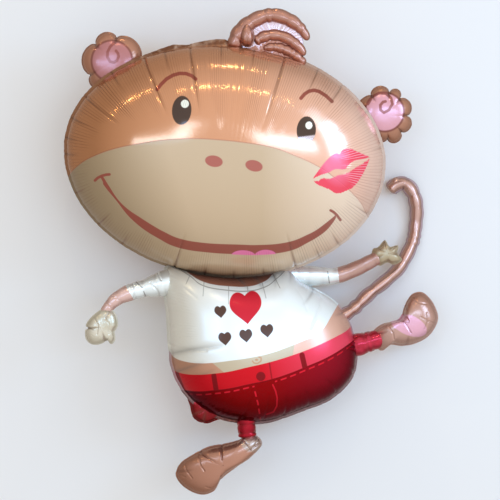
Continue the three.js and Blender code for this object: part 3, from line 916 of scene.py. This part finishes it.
def lips(foil):
    """A kiss mark: two ragged lips with a pale parting between them."""
    ragged = (foil.noise(4.0, 3.0, 0.8, stretch=(1.8, 0.5, 0.5)) - 0.5) * 12.0
    bow = foil.curve(
        [(313.3, 177.8), (320.3, 168.1), (328.2, 158.8), (332, 155.5), (336.9, 153.2), (339, 154),
         (341.5, 151.3), (343.4, 149.6), (347.2, 148.6), (351.5, 148.8), (356.4, 151.3), (362.3, 153.7),
         (369.5, 156.8)]
    )
    upper_edge = foil.curve(
        [(313.3, 178.6), (320, 175.4), (329.3, 172.4), (334.7, 169.4), (345, 169.1), (347.7, 165.9),
         (352, 162.1), (356.4, 160.2), (364, 158.8), (369.5, 157)]
    )
    lower_edge = foil.curve(
        [(313.6, 180.4), (317.9, 181.1), (321.7, 178.9), (331.4, 178.4), (338.5, 175.1), (344.4, 174.4),
         (349.9, 171.6), (354.2, 168.4), (361.2, 164.5), (369.6, 158.8)]
    )
    bottom = foil.curve(
        [(313.6, 180.8), (316.8, 184), (323.8, 187.2), (330.4, 190), (335.2, 193), (340.1, 193), (345, 191.2),
         (351, 188.7), (354.7, 185.4), (358.5, 181.1), (362.3, 175.1), (366.1, 167.5), (369.6, 159)]
    )
    (left, _), (right, _) = px([(313.2, 178), (369.8, 157)]).tolist()
    upper = foil.inside(foil.y - bow - ragged * 0.4) * foil.inside(upper_edge - foil.y + ragged * 0.5)
    lower = foil.inside(foil.y - lower_edge - ragged * 0.9) * foil.inside(bottom - foil.y - ragged * 0.5)
    return upper.high(lower) * foil.between(foil.x, left, right)


def waist_top_of(foil):
    return foil.curve(
        [(160, 365), (174.6, 371), (185.1, 374), (199.1, 374.7), (213.1, 373.7), (225.8, 372.2),
         (248.2, 367.2), (269.3, 362.3), (290.3, 356), (311.4, 348.3), (325.4, 342), (336.6, 336.4),
         (346.4, 330.8), (353.5, 322.4), (362, 312)]
    )


def waist_low_of(foil):
    return foil.curve(
        [(160, 386), (184.4, 390.4), (199.1, 391.8), (213.1, 390.8), (228.6, 389), (248.2, 384.8),
         (270.7, 379.9), (290.3, 373.6), (305.7, 367.3), (325.4, 358.8), (342.2, 349), (353.5, 340.6),
         (364, 332)]
    )


def body_material():
    foil = Foil("printed body foil")
    x, y, facing = foil.x, foil.y, foil.facing
    hem = foil.curve(
        [(160, 343), (169.6, 351.8), (175.3, 358.1), (185.1, 361.6), (199.1, 363.3), (213.1, 362.8),
         (228.6, 360.9), (248.2, 358.1), (270.7, 353.2), (290.3, 346.2), (304.3, 340.6), (315.6, 335.7),
         (324, 328), (331, 316.7), (336.6, 306.9), (340, 301.3), (350, 284)]
    )
    waist_low = waist_low_of(foil)
    below_hem = foil.inside(y - hem)
    below_top = foil.inside(y - waist_top_of(foil))
    below_low = foil.inside(y - waist_low)
    shirt = collar(foil, foil.mix(((-x - 60) * 0.012).clamped(), SHIRT, SHIRT_SHADE))
    shirt = shirt_print(foil, shirt)
    belly = foil.mix(foil.past((225.8, 374), (212.4, 363)), BELLY_CREAM, BELLY_BROWN)
    belly = foil.mix(foil.past((292.4, 356.7), (294.5, 344.8)), BELLY_PEACH, belly)
    belly = foil.mix(1 - facing, belly, BELLY_BROWN)
    swirl = foil.path([(252.4, 361), (254, 363), (257.6, 363.4), (261, 361), (261.2, 358), (258.8, 357)], 1.3)
    swirl = swirl.high(foil.oval((256.6, 359.8), (1.6, 1.2)))
    belly = foil.mix(swirl * facing * 0.9, belly, NAVEL)
    band = foil.mix(((x - 20) * 0.006).clamped(), WAISTBAND, WAISTBAND_LIGHT)
    band = foil.mix(waist_marks(foil) * facing, band, LOOP_RED)
    seam = foil.inside(abs(y - waist_low) - 1.2) * facing
    # The trousers grow darker towards the left: painted shade.
    trousers = foil.mix(((x - 40) * 0.006).clamped(), TROUSERS, TROUSERS_ROSE)
    trousers = foil.mix(stitching(foil, waist_low) * facing, trousers, STITCH)
    colour = foil.mix(below_hem, shirt, belly)
    colour = foil.mix(below_top, colour, band)
    colour = foil.mix(below_low, colour, trousers)
    colour = foil.mix(seam, colour, LOOP_RED)
    # Darker purple towards the weld on the trousers: painted shade.
    colour = foil.mix(foil.near_rim(0.84) * below_low * 0.75, colour, RIM_PAINTED_SHADE_PURPLE)
    # Darker along the folds of the shirt and belly: painted shade.
    colour = foil.mix((foil.fold * 0.45 * (1 - below_top)).clamped(), colour, SHIRT_LINE_AND_CREASE_SHADE)
    colour = foil.mix(foil.flange() * below_hem * 0.8, colour, FLANGE_SILVER)
    metal = 0.35 + below_hem * 0.2 + below_low * 0.4
    rough = 0.26 - below_low * 0.12 + foil.noise(50.0, 3.0) * 0.08
    ridges, _ = foil.pleats(200, 0.26)
    relief = fine_crumple(foil) * 0.07 + ridges
    for points, width, deep in SHIRT_FOLDS:
        relief = relief - foil.path(points, width, 7.0) * deep
    return foil.finish(colour, rough, metal, relief, 0.1, (0.60, 0.50, 0.54, 1))


def collar(foil, shirt):
    """The shirt's round neck: the skin above its edge, and a line of stitching below the edge, with the
    neck's creases drawn across it as faint dark lines of painted shade.
    """
    edge = foil.curve(
        [(176, 262), (184, 268.5), (190.7, 274.6), (203.3, 281.7), (215, 284.8), (227.2, 286.1),
         (246.8, 286.6), (262.3, 282.4), (273.5, 273.2), (280, 266)]
    )
    stitch = foil.stroke(
        [(171, 262), (174.6, 265.5), (190, 276), (206, 286.6), (227.2, 290.2), (246.8, 291.2), (262.3, 288),
         (276.3, 278.9), (286.8, 268.3), (290, 264)], 1.0, 1.6,
    )
    # The creases round the neck join the stitching as faint dark lines: painted shade.
    for points in COLLAR_CREASES:
        stitch = stitch.high(foil.path(points, 0.8) * 0.7)
    (left, _), (right, _) = px([(184, 268), (278, 268)]).tolist()
    neck = foil.inside(edge - foil.y) * foil.between(foil.x, left, right)
    shirt = foil.mix(stitch * foil.facing * 0.8, shirt, SHIRT_LINE_AND_CREASE_SHADE)
    return foil.mix(neck.high(foil.inside(-40.0 - foil.y) * neck), shirt, NECK_BROWN)


def waist_marks(foil):
    """The belt loops, the button and the edge of the fly on the waistband."""
    loops = foil.path([(213.8, 375.6), (216.8, 394)], 5.0)
    loops = loops.high(foil.path([(302, 355), (306, 372)], 5.2))
    loops = loops.high(foil.path([(177, 373), (184, 392)], 3.4))
    button = foil.oval((260.8, 376.4), (4.6, 4.6))
    return loops.high(button).high(foil.path([(269, 360), (272.3, 382)], 1.4) * 0.7)


def stitching(foil, waist_low):
    """Dashed stitches under the waistband and down the fly, and the fly's curved edge."""
    (fly_left, _), (fly_right, _) = px([(254.5, 0), (275, 0)]).tolist()
    under = foil.inside(abs(foil.y - waist_low + 6.0) - 1.4) * foil.dashes(foil.x, 9.4)
    under = under * (1 - foil.between(foil.x, fly_left, fly_right))
    down = foil.path([(254.5, 389.7), (258, 403.7), (260.8, 422)], 1.5) * foil.dashes(foil.y, 8.6)
    edge = foil.path(
        [(272.8, 384.8), (275.6, 391), (277.2, 398), (276.8, 406), (273.5, 412), (266.5, 414.4)], 1.4
    )
    return under.high(down).high(edge * 0.8)


def heart(foil, centre, size, tilt=0.0, soft=1.2):
    """A heart size pixels wide: a rounded curve whose top dips in the middle."""
    (cx, cy), = px([centre])
    cos, sin = math.cos(math.radians(tilt)), math.sin(math.radians(tilt))
    dx, dy = foil.x - float(cx), foil.y - float(cy)
    half = size * PIXEL / 2
    across = abs((dx * cos + dy * sin) / half)
    up = (dy * cos - dx * sin) / half
    lifted = up - (across * (1.7 - across)).high(0) * 0.62 + 0.12
    return foil.inside(((across * across + lifted * lifted * 1.25).root() - 1) * half, soft)


def shirt_print(foil, colour):
    """A plain print on the shirt's front: a red heart, with small dark hearts beside it and below it."""
    big = heart(foil, (246, 308), 32, 6)
    colour = foil.mix(big * foil.facing, colour, HEART_RED)
    small = heart(foil, (220.5, 312), 12, 6)
    for centre in ((225, 339), (246, 336), (267, 331)):
        small = small.high(heart(foil, centre, 13, 6))
    return foil.mix(small * foil.facing, colour, HEART_BROWN)


def ear_material(name, centre, pink_radius, curl, pink):
    foil = Foil(name)
    ring = foil.oval(centre, (pink_radius + 2.0, pink_radius + 2.0), soft=2.0)
    disc = foil.oval(centre, (pink_radius, pink_radius), soft=2.0)
    colour = foil.mix(ring * foil.facing, EAR_BROWN, EAR_RING)
    colour = foil.mix(disc * foil.facing, colour, pink)
    colour = foil.mix(foil.path(curl, 2.8) * foil.facing * 0.9, colour, EAR_CURL)
    # Darker along the creases: painted shade.
    colour = foil.mix((foil.fold * 0.7).clamped(), colour, EAR_CREASE_SHADE)
    rough = 0.2 + foil.noise(40.0, 2.0) * 0.08
    return foil.finish(colour, rough, 0.55, fine_crumple(foil) * 0.1, 0.3)


def limb_material(name, colour_of, rough=0.2, metal=0.8, strength=0.12, folds=()):
    """Foil of a small piece. folds are creases, each as a path of pixels, its width in pixels and its depth
    in millimetres."""
    foil = Foil(name)
    # Darker along the creases: painted shade.
    colour = foil.mix((foil.fold * 0.45).clamped(), colour_of(foil), LIMB_CREASE_SHADE)
    relief = fine_crumple(foil) * strength
    for points, width, deep in folds:
        relief = relief - foil.path(points, width, 4.0) * deep
    rough = rough + foil.noise(30.0, 2.0) * 0.08
    return foil.finish(colour, rough, metal - foil.flange() * 0.5, relief)


def plain(colour, other, size=40.0):
    return lambda foil: foil.mix(foil.noise(size, 2.0), colour, other)


def sleeved(cuff, stitches, bare):
    """A white sleeve with lines of stitches near its cuff, then an arm of the colour bare. cuff is a line
    between two pixels, with the sleeve on its left, and each line of stitches a path of pixels."""

    def colour_of(foil):
        arm = foil.mix(foil.noise(40.0, 2.0), bare, LIMB_ROSE)
        colour = foil.mix(foil.past(*cuff), arm, SHIRT)
        for points in stitches:
            colour = foil.mix(foil.path(points, 1.0) * foil.facing * 0.8, colour, SHIRT_LINE_AND_CREASE_SHADE)
        return colour

    return colour_of


def handed(lines):
    """A pale hand with the dark notches between its fingers."""

    def colour_of(foil):
        colour = foil.mix(foil.noise(30.0, 2.0), HAND, HAND_SHADE)
        for points in lines:
            colour = foil.mix(foil.path(points, 1.2) * foil.facing * 0.5, colour, HAND_NOTCH)
        return colour

    return colour_of


def web_colours(foil):
    """Silver pink above the middle curl, and the hair's own colour with pale painted glints below it."""
    middle = foil.curve(
        [(250, 44), (254.5, 42), (264.9, 36.7), (275.5, 35), (288, 38.6), (299.5, 47.4), (305.4, 55.2)]
    )
    silver = foil.mix(foil.noise(18.0, 2.0), WEB, WEB_PINK)
    # Pale patches below the middle curl: painted glints.
    painted_glints = ((foil.noise(9.0, 2.0) - 0.56) * 12).clamped()
    return foil.mix(foil.inside(foil.y - middle + 8.0), silver, foil.mix(painted_glints, HAIR, WEB_PINK))


def tail_colours(foil):
    colour = foil.mix(foil.noise(40.0, 2.0), LIMB, LIMB_ROSE)
    return foil.mix(foil.flange(), colour, FLANGE_SILVER)


def right_foot_colours(foil):
    colour = foil.mix(((foil.y + 150) * 0.012).clamped(), FOOT_ROSE, FOOT_BROWN)
    sole = foil.oval((409, 325), (19, 10), 24).high(foil.oval((400, 322), (9, 8), 30))
    sole = sole * foil.past((428, 316.4), (404, 314.4))
    colour = foil.mix(sole * foil.facing, colour, SOLE_PINK)
    # A dark line along a crease of the sole: painted shade.
    return foil.mix(foil.path([(402, 321), (411, 332)], 0.9) * foil.facing * 0.6, colour, SOLE_CREASE_SHADE)


def left_foot_colours(foil):
    colour = foil.mix(((foil.x + 140) * 0.006).clamped(), FOOT_BROWN, FOOT_TAN)
    ankle = foil.oval((252, 441), (12, 11), 20, soft=4.0)
    return foil.mix(ankle * foil.facing, colour, ANKLE_GREY)


# The pieces


def make_camera():
    data = bpy.data.cameras.new("camera")
    data.sensor_width = 36.0
    distance = VIEW_DISTANCE * MM
    across = 500 * PIXEL * MM
    data.lens = data.sensor_width * distance / across
    camera = bpy.data.objects.new("camera", data)
    (x, y), = px([(250, 250)]) * MM
    camera.location = (x + SHIFT[0] * MM, y + SHIFT[1] * MM, distance + VIEW_LEVEL * MM)
    bpy.context.scene.collection.objects.link(camera)
    bpy.context.scene.camera = camera


def area_light(name, place, aim, size, power, colour=(1, 1, 1)):
    data = bpy.data.lights.new(name, "AREA")
    data.shape = "RECTANGLE"
    data.size, data.size_y = size
    data.energy = power
    data.color = colour
    lamp = bpy.data.objects.new(name, data)
    lamp.location = place
    direction = np.array(aim, float) - np.array(place, float)
    lamp.rotation_euler = (
        math.acos(-direction[2] / np.linalg.norm(direction)),
        0,
        math.atan2(direction[1], direction[0]) - math.pi / 2,
    )
    bpy.context.scene.collection.objects.link(lamp)


def make_studio():
    """Soft white light that is brighter above and on the right, four cool softboxes and four warm lamps."""
    world = bpy.data.worlds.new("studio")
    bpy.context.scene.world = world
    world.use_nodes = True
    tree = world.node_tree
    place = tree.nodes.new("ShaderNodeTexCoord")
    parts = tree.nodes.new("ShaderNodeSeparateXYZ")
    ramp = tree.nodes.new("ShaderNodeValToRGB")
    tree.links.new(place.outputs["Generated"], parts.inputs[0])
    side, away, up = (Wire(tree, parts.outputs[k]) for k in range(3))
    height = up * 0.62 + side * 0.26 + away * 0.10 + 0.12
    tree.links.new(height.socket, ramp.inputs[0])
    tree.links.new(ramp.outputs[0], tree.nodes["Background"].inputs[0])
    ramp.color_ramp.elements[0].position = 0.10
    ramp.color_ramp.elements[0].color = (0.46, 0.42, 0.38, 1)
    ramp.color_ramp.elements[1].position = 0.80
    ramp.color_ramp.elements[1].color = (1.16, 1.17, 1.18, 1)
    for name, place, size, radiance in (
        ("left strip", (-0.80, 0.22, 2.2), (0.15, 1.05), 5.0),
        ("left strip end", (-0.38, 0.36, 2.2), (0.24, 0.22), 4.2),
        ("right softbox", (0.74, 0.24, 2.2), (0.22, 1.12), 4.3),
        ("right window", (2.2, 0.72, 1.85), (1.25, 0.95), 4.3),
    ):
        power = radiance * math.pi * size[0] * size[1]
        area_light(name, place, (0.0, 0.15, 0.2), size, power, (0.44, 0.84, 1.42))
    for name, place, power in (
        ("warm lamp", (-0.16, 2.1, 2.2), 2), ("left warm lamp", (-1.9, 1.9, 1.6), 2),
        ("right warm lamp", (0.75, 2.05, 2.2), 1.2), ("far warm lamp", (0.1, 3.0, 0.6), 3),
    ):
        area_light(name, place, (0, 0.3, 0.1), (0.06, 0.05), power, (1.0, 0.78, 0.42))
    bpy.context.scene.view_settings.view_transform = "Standard"


def make_floor():
    mesh = bpy.data.meshes.new("floor")
    half = 4.0
    corners = [(-half, -half, 0), (half, -half, 0), (half, half, 0), (-half, half, 0)]
    mesh.from_pydata(corners, [], [(0, 1, 2, 3)])
    floor = bpy.data.objects.new("floor", mesh)
    bpy.context.scene.collection.objects.link(floor)
    material = bpy.data.materials.new("pale floor")
    material.use_nodes = True
    shader = material.node_tree.nodes["Principled BSDF"]
    shader.inputs["Base Color"].default_value = (0.80, 0.79, 0.77, 1)
    shader.inputs["Roughness"].default_value = 0.7
    mesh.materials.append(material)
    floor.visible_glossy = False


HEAD_CENTRE = (-51, 191)
HEAD_TILT = 5
HEAD_FLARE = [
    (60, 0), (88, 0), (91, 8), (94, 8), (101, 5), (107, 1.5), (110, 0), (112, 1), (116, 5), (122, 2),
    (128, 0), (140, 0),
]
head = Chamber(
    tilted_oval(HEAD_CENTRE, 335, 325, 230, 247, HEAD_TILT), HEAD_CENTRE, 150, HEAD_PLANE,
    spine=(0.46, HEAD_TILT), flare=HEAD_FLARE, **HEAD_LEAN,
)
body = Chamber(
    outline_through(
        [(-180, -32), (-184, -71), (-178, -129), (-174, -185), (-166, -242), (-141, -292), (-96, -333),
         (-32, -354), (26, -356), (98, -335), (170, -306), (211, -263), (220, -222), (213, -178), (201, -143),
         (176, -108), (135, -81), (98, -61), (69, -34), (20, -45), (-55, -52), (-129, -44)]
    ),
    (20, -195), 108, BODY_PLANE, **BODY_LEAN,
)


def on(chamber, points, above=0.0):
    points = np.array(points, float)
    heights = chamber.weld_height(points[:, 0], points[:, 1]) + above
    return np.column_stack([points, heights])


def make_head():
    creases = [
        (3, 1.5, 30, 3), (17, 0.8, 30, 3), (31, 3.0, 62, 2.6), (43, 1.8, 60, 2.6), (59.5, 4.2, 150, 2.4),
        (75, 0.9, 50, 3), (92, 0.8, 40, 3), (108, 4.6, 132, 2.4), (120, 0.8, 50, 3), (129, 4.4, 122, 2.4),
        (143, 1.6, 50, 3), (156, 3.2, 90, 2.6), (165, 2.4, 50, 3), (172, 1.4, 30, 3.4), (178, 2.2, 34, 3.4),
        (192, 1.2, 30, 3.4), (206, 2.6, 44, 3), (218, 2.0, 30, 3.4), (243, 4.8, 84, 2.8), (258, 1.2, 26, 3.4),
        (272, 1.0, 24, 3.4), (286, 1.2, 26, 3.4), (301, 4.8, 84, 2.8), (312, 1.6, 30, 3.4), (321, 2.8, 40, 3),
        (337, 2.8, 44, 3), (350, 1.0, 24, 3.4),
    ]
    run = [
        (0, 92), (30, 110), (50, 165), (75, 190), (90, 175), (110, 160), (130, 130), (150, 110), (165, 70),
        (180, 56), (215, 48), (240, 62), (270, 66), (300, 70), (325, 84),
    ]
    pleating = [
        (0, 1.2), (30, 1.1), (60, 1.0), (90, 0.7), (110, 0.6), (130, 0.8), (150, 1.3), (170, 1.4), (200, 1.0),
        (240, 0.6), (270, 0.6), (300, 0.7), (330, 0.9),
    ]
    wrinkles = foil_wrinkles(13.0, creases, 1.0, 0.34, run, pleating)
    head.build("head", face_material(), 1024, 46, wrinkles)


def make_body():
    creases = [
        (355, 2.4, 50, 4), (20, 1.4, 40, 4), (47, 2.0, 60, 4), (70, 1.6, 40, 4), (84, 1.6, 44, 4),
        (98, 1.6, 44, 4), (112, 1.6, 44, 4), (184, 5.0, 100, 6), (196, 2.0, 50, 4), (205, 3.0, 60, 4),
        (222, 1.6, 40, 4), (236, 1.6, 40, 4), (251, 2.6, 50, 4), (268, 2.4, 50, 4), (285, 2.0, 40, 4),
        (305, 2.0, 40, 4), (325, 2.6, 50, 4), (342, 2.0, 40, 4),
    ]
    run = [(0, 34), (60, 34), (110, 34), (184, 50), (230, 60), (270, 70), (320, 50)]
    body.build("torso", body_material(), 768, 40, foil_wrinkles(12.0, creases, 1.1, 0.16, run, 0.7))


def make_hip_fold():
    """The pocket of slack film that stands out past the weld on the lower left."""
    outline = outline_through(
        [(-134, -294), (-128, -318), (-121, -342), (-97, -354), (-70, -347), (-50, -343), (-70, -322),
         (-108, -298)]
    )
    centre = (-98.0, -326.0)
    fold = Chamber(outline, centre, 12, float(body.weld_height(*centre)) - 10, flange=2.5, **BODY_LEAN)
    foil = limb_material("dark red fold foil", plain(srgb(104, 0, 12), TROUSERS, 30.0), 0.14, 0.9, 0.1)
    creases = [(200, 3.0, 26, 3), (262, 3.0, 26, 3)]
    fold.build("hip_fold", foil, 160, 16, foil_wrinkles(9.0, creases, 0.6, 0.2, 20.0))


def make_neck():
    rise = (head.weld_height(-55.0, 20.0) + body.weld_height(-55.0, -100.0)) / 2 - NECK_DROP
    material = limb_material("brown neck foil", plain(srgb(176, 118, 92), srgb(150, 96, 74)))
    path = [(-55, 20, rise), (-55, -10, rise), (-55, -40, rise), (-55, -70, rise), (-55, -100, rise)]
    tube("neck", material, path, [118, 113, 108, 113, 118], [40, 34, 28, 34, 40], 60, 320, crinkle=0.8)


def make_ears():
    left_curl = [
        (114, 43), (110, 47), (107.6, 52), (107.4, 57), (110, 61.5), (113.6, 62.6), (117, 60.4),
        (118.6, 56.6), (118, 53.4), (116, 50.8),
    ]
    right_curl = [
        (368, 104), (372, 97), (379, 93), (386, 93.6), (391, 98), (392.4, 104), (389, 110), (384, 112.6),
        (380.6, 110), (380.4, 105), (383, 102), (385.5, 101.4),
    ]
    # Each ear gets its own pink: the left one darker as painted shade, the right one lighter as painted
    # light.
    for name, centre, radius, notches, disc, disc_radius, pink, curl in (
        ("left_ear", (-286, 384), 65, (207, 132, 81, 358, 250), (112, 61), 19.5, EAR_PINK, left_curl),
        (
            "right_ear", (270, 278), 62, (122, 76, 46, 0, 318, 280), (384.5, 112), 18.5, RIGHT_EAR_PINK_PAINTED_LIGHT,
            right_curl,
        ),
    ):
        rise = float(head.weld_height(*map(float, centre))) - EAR_DROP
        ear = Chamber(
            lobed_round(centre, radius, notches, 0.2), centre, 26, rise, flange=2.5, even=True, **HEAD_LEAN
        )
        creases = [(angle, 2.2, 18, 2.6) for angle in notches]
        material = ear_material(name.replace("_", " ") + " foil", disc, disc_radius, curl, pink)
        ear.build(name, material, 256, 24, foil_wrinkles(7.0, creases, 0.4, 0.1, 16.0), coarse=0.4)


def make_hair():
    material = limb_material("copper hair foil", plain(HAIR, HAIR_ROSE, 26.0), 0.2)
    web_foil = limb_material("silver pink web foil", web_colours, 0.22)
    outer = on(
        head,
        [(-38, 410), (-33, 430), (-20, 449), (1, 466), (26, 476), (50, 477), (77, 467), (99, 450),
         (114, 428)],
    )
    middle = on(head, [(3, 424), (24, 435), (46, 438), (71, 431), (95, 413), (107, 397)])
    lower = on(head, [(21, 411), (40, 414), (60, 411), (86, 398), (108, 380)])
    for name, path, widths, steps, crinkle, pitch in (
        ("hair_top", outer, [14, 17, 17, 15, 14.5, 14.5, 14, 11, 6], 280, 2.8, 21),
        ("hair_middle", middle, [11, 12, 12, 12, 11, 6], 180, 2.4, 18),
        ("hair_low", lower, [7, 10, 11, 10, 7], 160, 3.2, 11),
    ):
        tube(name, material, path, widths, widths, steps, crinkle=crinkle, pitch=pitch)
    rise = float(head.weld_height(39.0, 435.0))
    drop = Chamber(
        outline_through([(-12, 463), (0, 449), (4, 431), (-3, 414), (-18, 414), (-27, 431), (-23, 450)]),
        (-11, 434), 16, rise + 10, flange=2.0, **HEAD_LEAN,
    )
    drop.build("hair_drop", material, 96, 14, foil_wrinkles(8.0, [(270, 2, 20, 3)], 0.4, 0.1, 10.0))
    web = Chamber(
        outline_through(
            [(-20, 406), (-9, 443), (15, 463), (44, 467), (77, 455), (101, 432), (103, 414), (99, 398),
             (105, 380), (71, 386), (24, 398)]
        ),
        (44, 422), 1.6, rise, flange=2.0, **HEAD_LEAN,
    )
    web.build("hair_web", web_foil, 256, 20, foil_wrinkles(7.0, [], 0.6, 0.4, 60.0))


def make_arms():
    left = on(body, [(-150, -60), (-211, -75), (-251, -86), (-280, -101), (-300, -124), (-306, -134)])
    left[-2:, 2] -= 4, 10
    left_stitches = [[(136, 281.8), (142.3, 287.7)], [(143.7, 291.6), (145.4, 295.8)]]
    # The left arm's bare colour is lightened: a painted highlight.
    left_sleeve = sleeved(((126, 286.4), (134.6, 301)), left_stitches, LEFT_ARM_PAINTED_LIGHT)
    tucks = [
        ([(152, 268), (158, 273), (161, 280)], 1.0, 1.6), ([(150, 283), (157, 290), (160, 298)], 1.0, 1.2),
        ([(133, 284), (135.4, 290), (134, 298)], 0.8, 1.2), ([(113, 296), (119, 300), (121, 306)], 0.8, 1.0),
        ([(106, 303), (112, 309)], 0.8, 1.0),
    ]
    left_foil = limb_material("left arm foil", left_sleeve, 0.22, 0.6, 0.08, tucks)
    widths, depths = [28, 27, 18, 17, 13, 9], [26, 25, 16, 15, 12, 8]
    tube("left_arm", left_foil, left, widths, depths, 220, crinkle=0.9, pitch=24)
    hand = Chamber(
        outline_through(
            [(-304, -118), (-316, -125), (-329, -136), (-337, -147), (-339, -154), (-335, -157), (-340, -162),
             (-341, -170), (-339, -180), (-331, -189), (-318, -192), (-306, -189), (-297, -184), (-294, -182),
             (-291, -188), (-286, -190), (-280, -184), (-279, -173), (-280, -165), (-274, -154), (-274, -143),
             (-277, -131), (-286, -120)]
        ),
        (-308, -156), 14, float(body.weld_height(-304.0, -126.0)), flange=SMALL_FLANGE,
    )
    fingers = handed([[(87, 327.4), (90, 328.4), (93.6, 330)], [(106.4, 342), (108, 338.4)]])
    palm = [([(94, 318), (98, 325), (97, 334)], 0.8, 1.6), ([(104, 316), (109, 324), (109, 334)], 0.8, 1.2)]
    creases = [(184, 3.0, 26, 2.4), (286, 2.4, 18, 2.4), (60, 1.6, 30, 3)]
    hand.build(
        "left_hand", limb_material("left hand foil", fingers, 0.24, 0.5, 0.12, palm), 256, 22,
        foil_wrinkles(8.0, creases, 0.3, 0.1, 12.0),
    )
    height = float(body.weld_height(259.0, -15.0)) + 26
    shoulder = on(body, [(60, -52), (135, -54), (176, -53)])
    right = np.vstack([shoulder, [(215, -40, height - 8), (268, -13, height)]])
    right_sleeve = sleeved(((339.8, 286), (337.6, 268)), [[(327.6, 271.4), (329.4, 283)]], RIGHT_ARM)
    right_foil = limb_material("right arm foil", right_sleeve, 0.22, 0.6, 0.08)
    widths, depths = [27, 22, 17, 16, 14], [28, 22, 16, 14, 12]
    tube("right_arm", right_foil, right, widths, depths, 220, crinkle=0.9, pitch=24)
    star = Chamber(
        outline_through(
            [(253, 3), (265, 8), (278, 22), (289, 8), (306, 11), (305, -5), (314, -20), (297, -30),
             (284, -25), (267, -32), (252, -15)]
        ),
        (283, -7), 13, height, flange=SMALL_FLANGE,
    )
    star_foil = limb_material("right hand foil", plain(STAR_HAND, STAR_HAND_SHADE, 24.0), 0.24, 0.6)
    creases = [(angle, 2.2, 20, 2.6) for angle in (40, 105, 150, 200)] + [(0, 2.0, 18, 2.6)]
    star.build("right_hand", star_foil, 256, 22, foil_wrinkles(8.0, creases, 0.3, 0.1, 12.0))


def make_tail():
    path = on(
        body, [(165, -150), (209, -125), (246, -92), (281, -65), (313, -35), (331, -5), (343, 22), (349, 57)]
    )
    rise = max(15.0, path[-1, 2])
    path[:, 2] = np.maximum(path[:, 2], rise)
    tip = [(350, 93, rise + 4), (341, 125, rise + 6), (324, 143, rise + 6), (305, 139, rise + 4),
           (292, 127, rise + 4)]
    path = np.vstack([path, tip])
    half = TAIL_HALF_WIDTH
    widths = [half] * 5 + [half * 1.1, half * 1.1]
    material = limb_material("tail foil", tail_colours, 0.2)
    tube(
        "tail", material, path, widths, [width * 1.1 for width in widths], 520, 32, flange=WELD_FLANGE * 0.75,
        crinkle=2.0, pitch=29.0,
    )
    knob = [(318, 141, rise + 5), (306, 146, rise + 5), (297, 150, rise + 5)]
    material = limb_material("tail knob foil", plain(LIMB, LIMB_ROSE))
    tube("tail_knob", material, knob, [9, 10, 9], [9, 10, 9], 60)


def make_legs():
    red = limb_material("red leg foil", plain(LEG_RED, LEG_DARK, 22.0), 0.10, 0.9, 0.26)
    # The right leg's foil is the red leg's colour lightened to pink: a painted highlight.
    pink = limb_material("pink red leg foil", plain(LEG_PINK_PAINTED_HIGHLIGHT, LEG_PINK_DARK, 14.0), 0.08, 0.9, 0.42)
    right_rise = float(body.weld_height(222.0, -193.0)) + 4
    left_rise = float(body.weld_height(-13.0, -362.0)) - 8
    tube(
        "right_leg", pink, [(185, -205, right_rise - 4), (226, -196, right_rise), (281, -180, right_rise)],
        [28, 22, 17], [30, 24, 20], 120, 40, crinkle=4.2, pitch=17,
    )
    foot = Chamber(
        outline_through(
            [(287, -150), (308, -141), (322, -108), (335, -91), (354, -87), (373, -102), (389, -139),
             (380, -166), (363, -184), (338, -196), (313, -200), (289, -198), (271, -210), (254, -196),
             (253, -170), (271, -154)]
        ),
        (327, -150), 32, right_rise, flange=SMALL_FLANGE,
    )
    sole_folds = [
        ([(402, 320), (407, 326), (411, 333)], 0.8, 1.6), ([(421, 317), (428, 321), (434, 323)], 0.8, 1.6),
        ([(427, 313), (428, 321), (425, 329)], 0.8, 1.4), ([(388, 326), (393, 333), (394, 339)], 0.8, 1.2),
        ([(413, 298), (419, 303), (427, 304)], 0.8, 1.0),
    ]
    creases = [
        (125, 3.0, 30, 3), (200, 3.0, 30, 3), (168, 2.0, 34, 3), (262, 2.0, 20, 3), (100, 1.6, 16, 2.6),
    ]
    material = limb_material("right foot foil", right_foot_colours, 0.2, 0.7, 0.12, sole_folds)
    foot.build("right_foot", material, 288, 26, foil_wrinkles(8.0, creases, 0.5, 0.16, 20.0))
    tube(
        "left_leg", red, [(-15, -325, left_rise), (-13, -355, left_rise), (-10, -386, left_rise)],
        [24, 19, 18], [26, 20, 17], 120, 40, crinkle=3.6, pitch=15,
    )
    foot = Chamber(
        outline_through(
            [(-28, -389), (-53, -396), (-90, -403), (-127, -422), (-149, -438), (-158, -461), (-141, -486),
             (-104, -502), (-79, -494), (-65, -471), (-34, -446), (-5, -426), (20, -395), (-1, -376)]
        ),
        (-62, -442), 28, left_rise, flange=SMALL_FLANGE,
    )
    ankle_folds = [
        ([(200.6, 450), (199, 458.3), (200.4, 465), (204.4, 471)], 0.8, 1.8), ([(222.3, 444.2),
        (221.6, 452), (222, 459)], 0.8, 1.8), ([(244.6, 441), (248, 445), (251, 449.3)], 0.8, 1.8),
        ([(184, 461), (186, 470), (192, 478)], 0.8, 1.4), ([(177, 474), (185, 477)], 0.8, 1.4),
        ([(206, 487), (212, 489)], 0.6, 1.2), ([(259, 438), (255, 445)], 0.8, 1.6),
    ]
    creases = [
        (92, 3.0, 34, 2.6), (146, 3.0, 44, 2.6), (186, 2.4, 34, 2.6), (30, 3.0, 40, 3), (262, 2.0, 16, 2.6),
    ]
    material = limb_material("left foot foil", left_foot_colours, 0.2, 0.7, 0.12, ankle_folds)
    foot.build("left_foot", material, 288, 26, foil_wrinkles(8.0, creases, 0.5, 0.16, 20.0))


make_camera()
make_studio()
make_floor()
make_head()
make_body()
make_hip_fold()
make_neck()
make_ears()
make_hair()
make_arms()
make_tail()
make_legs()
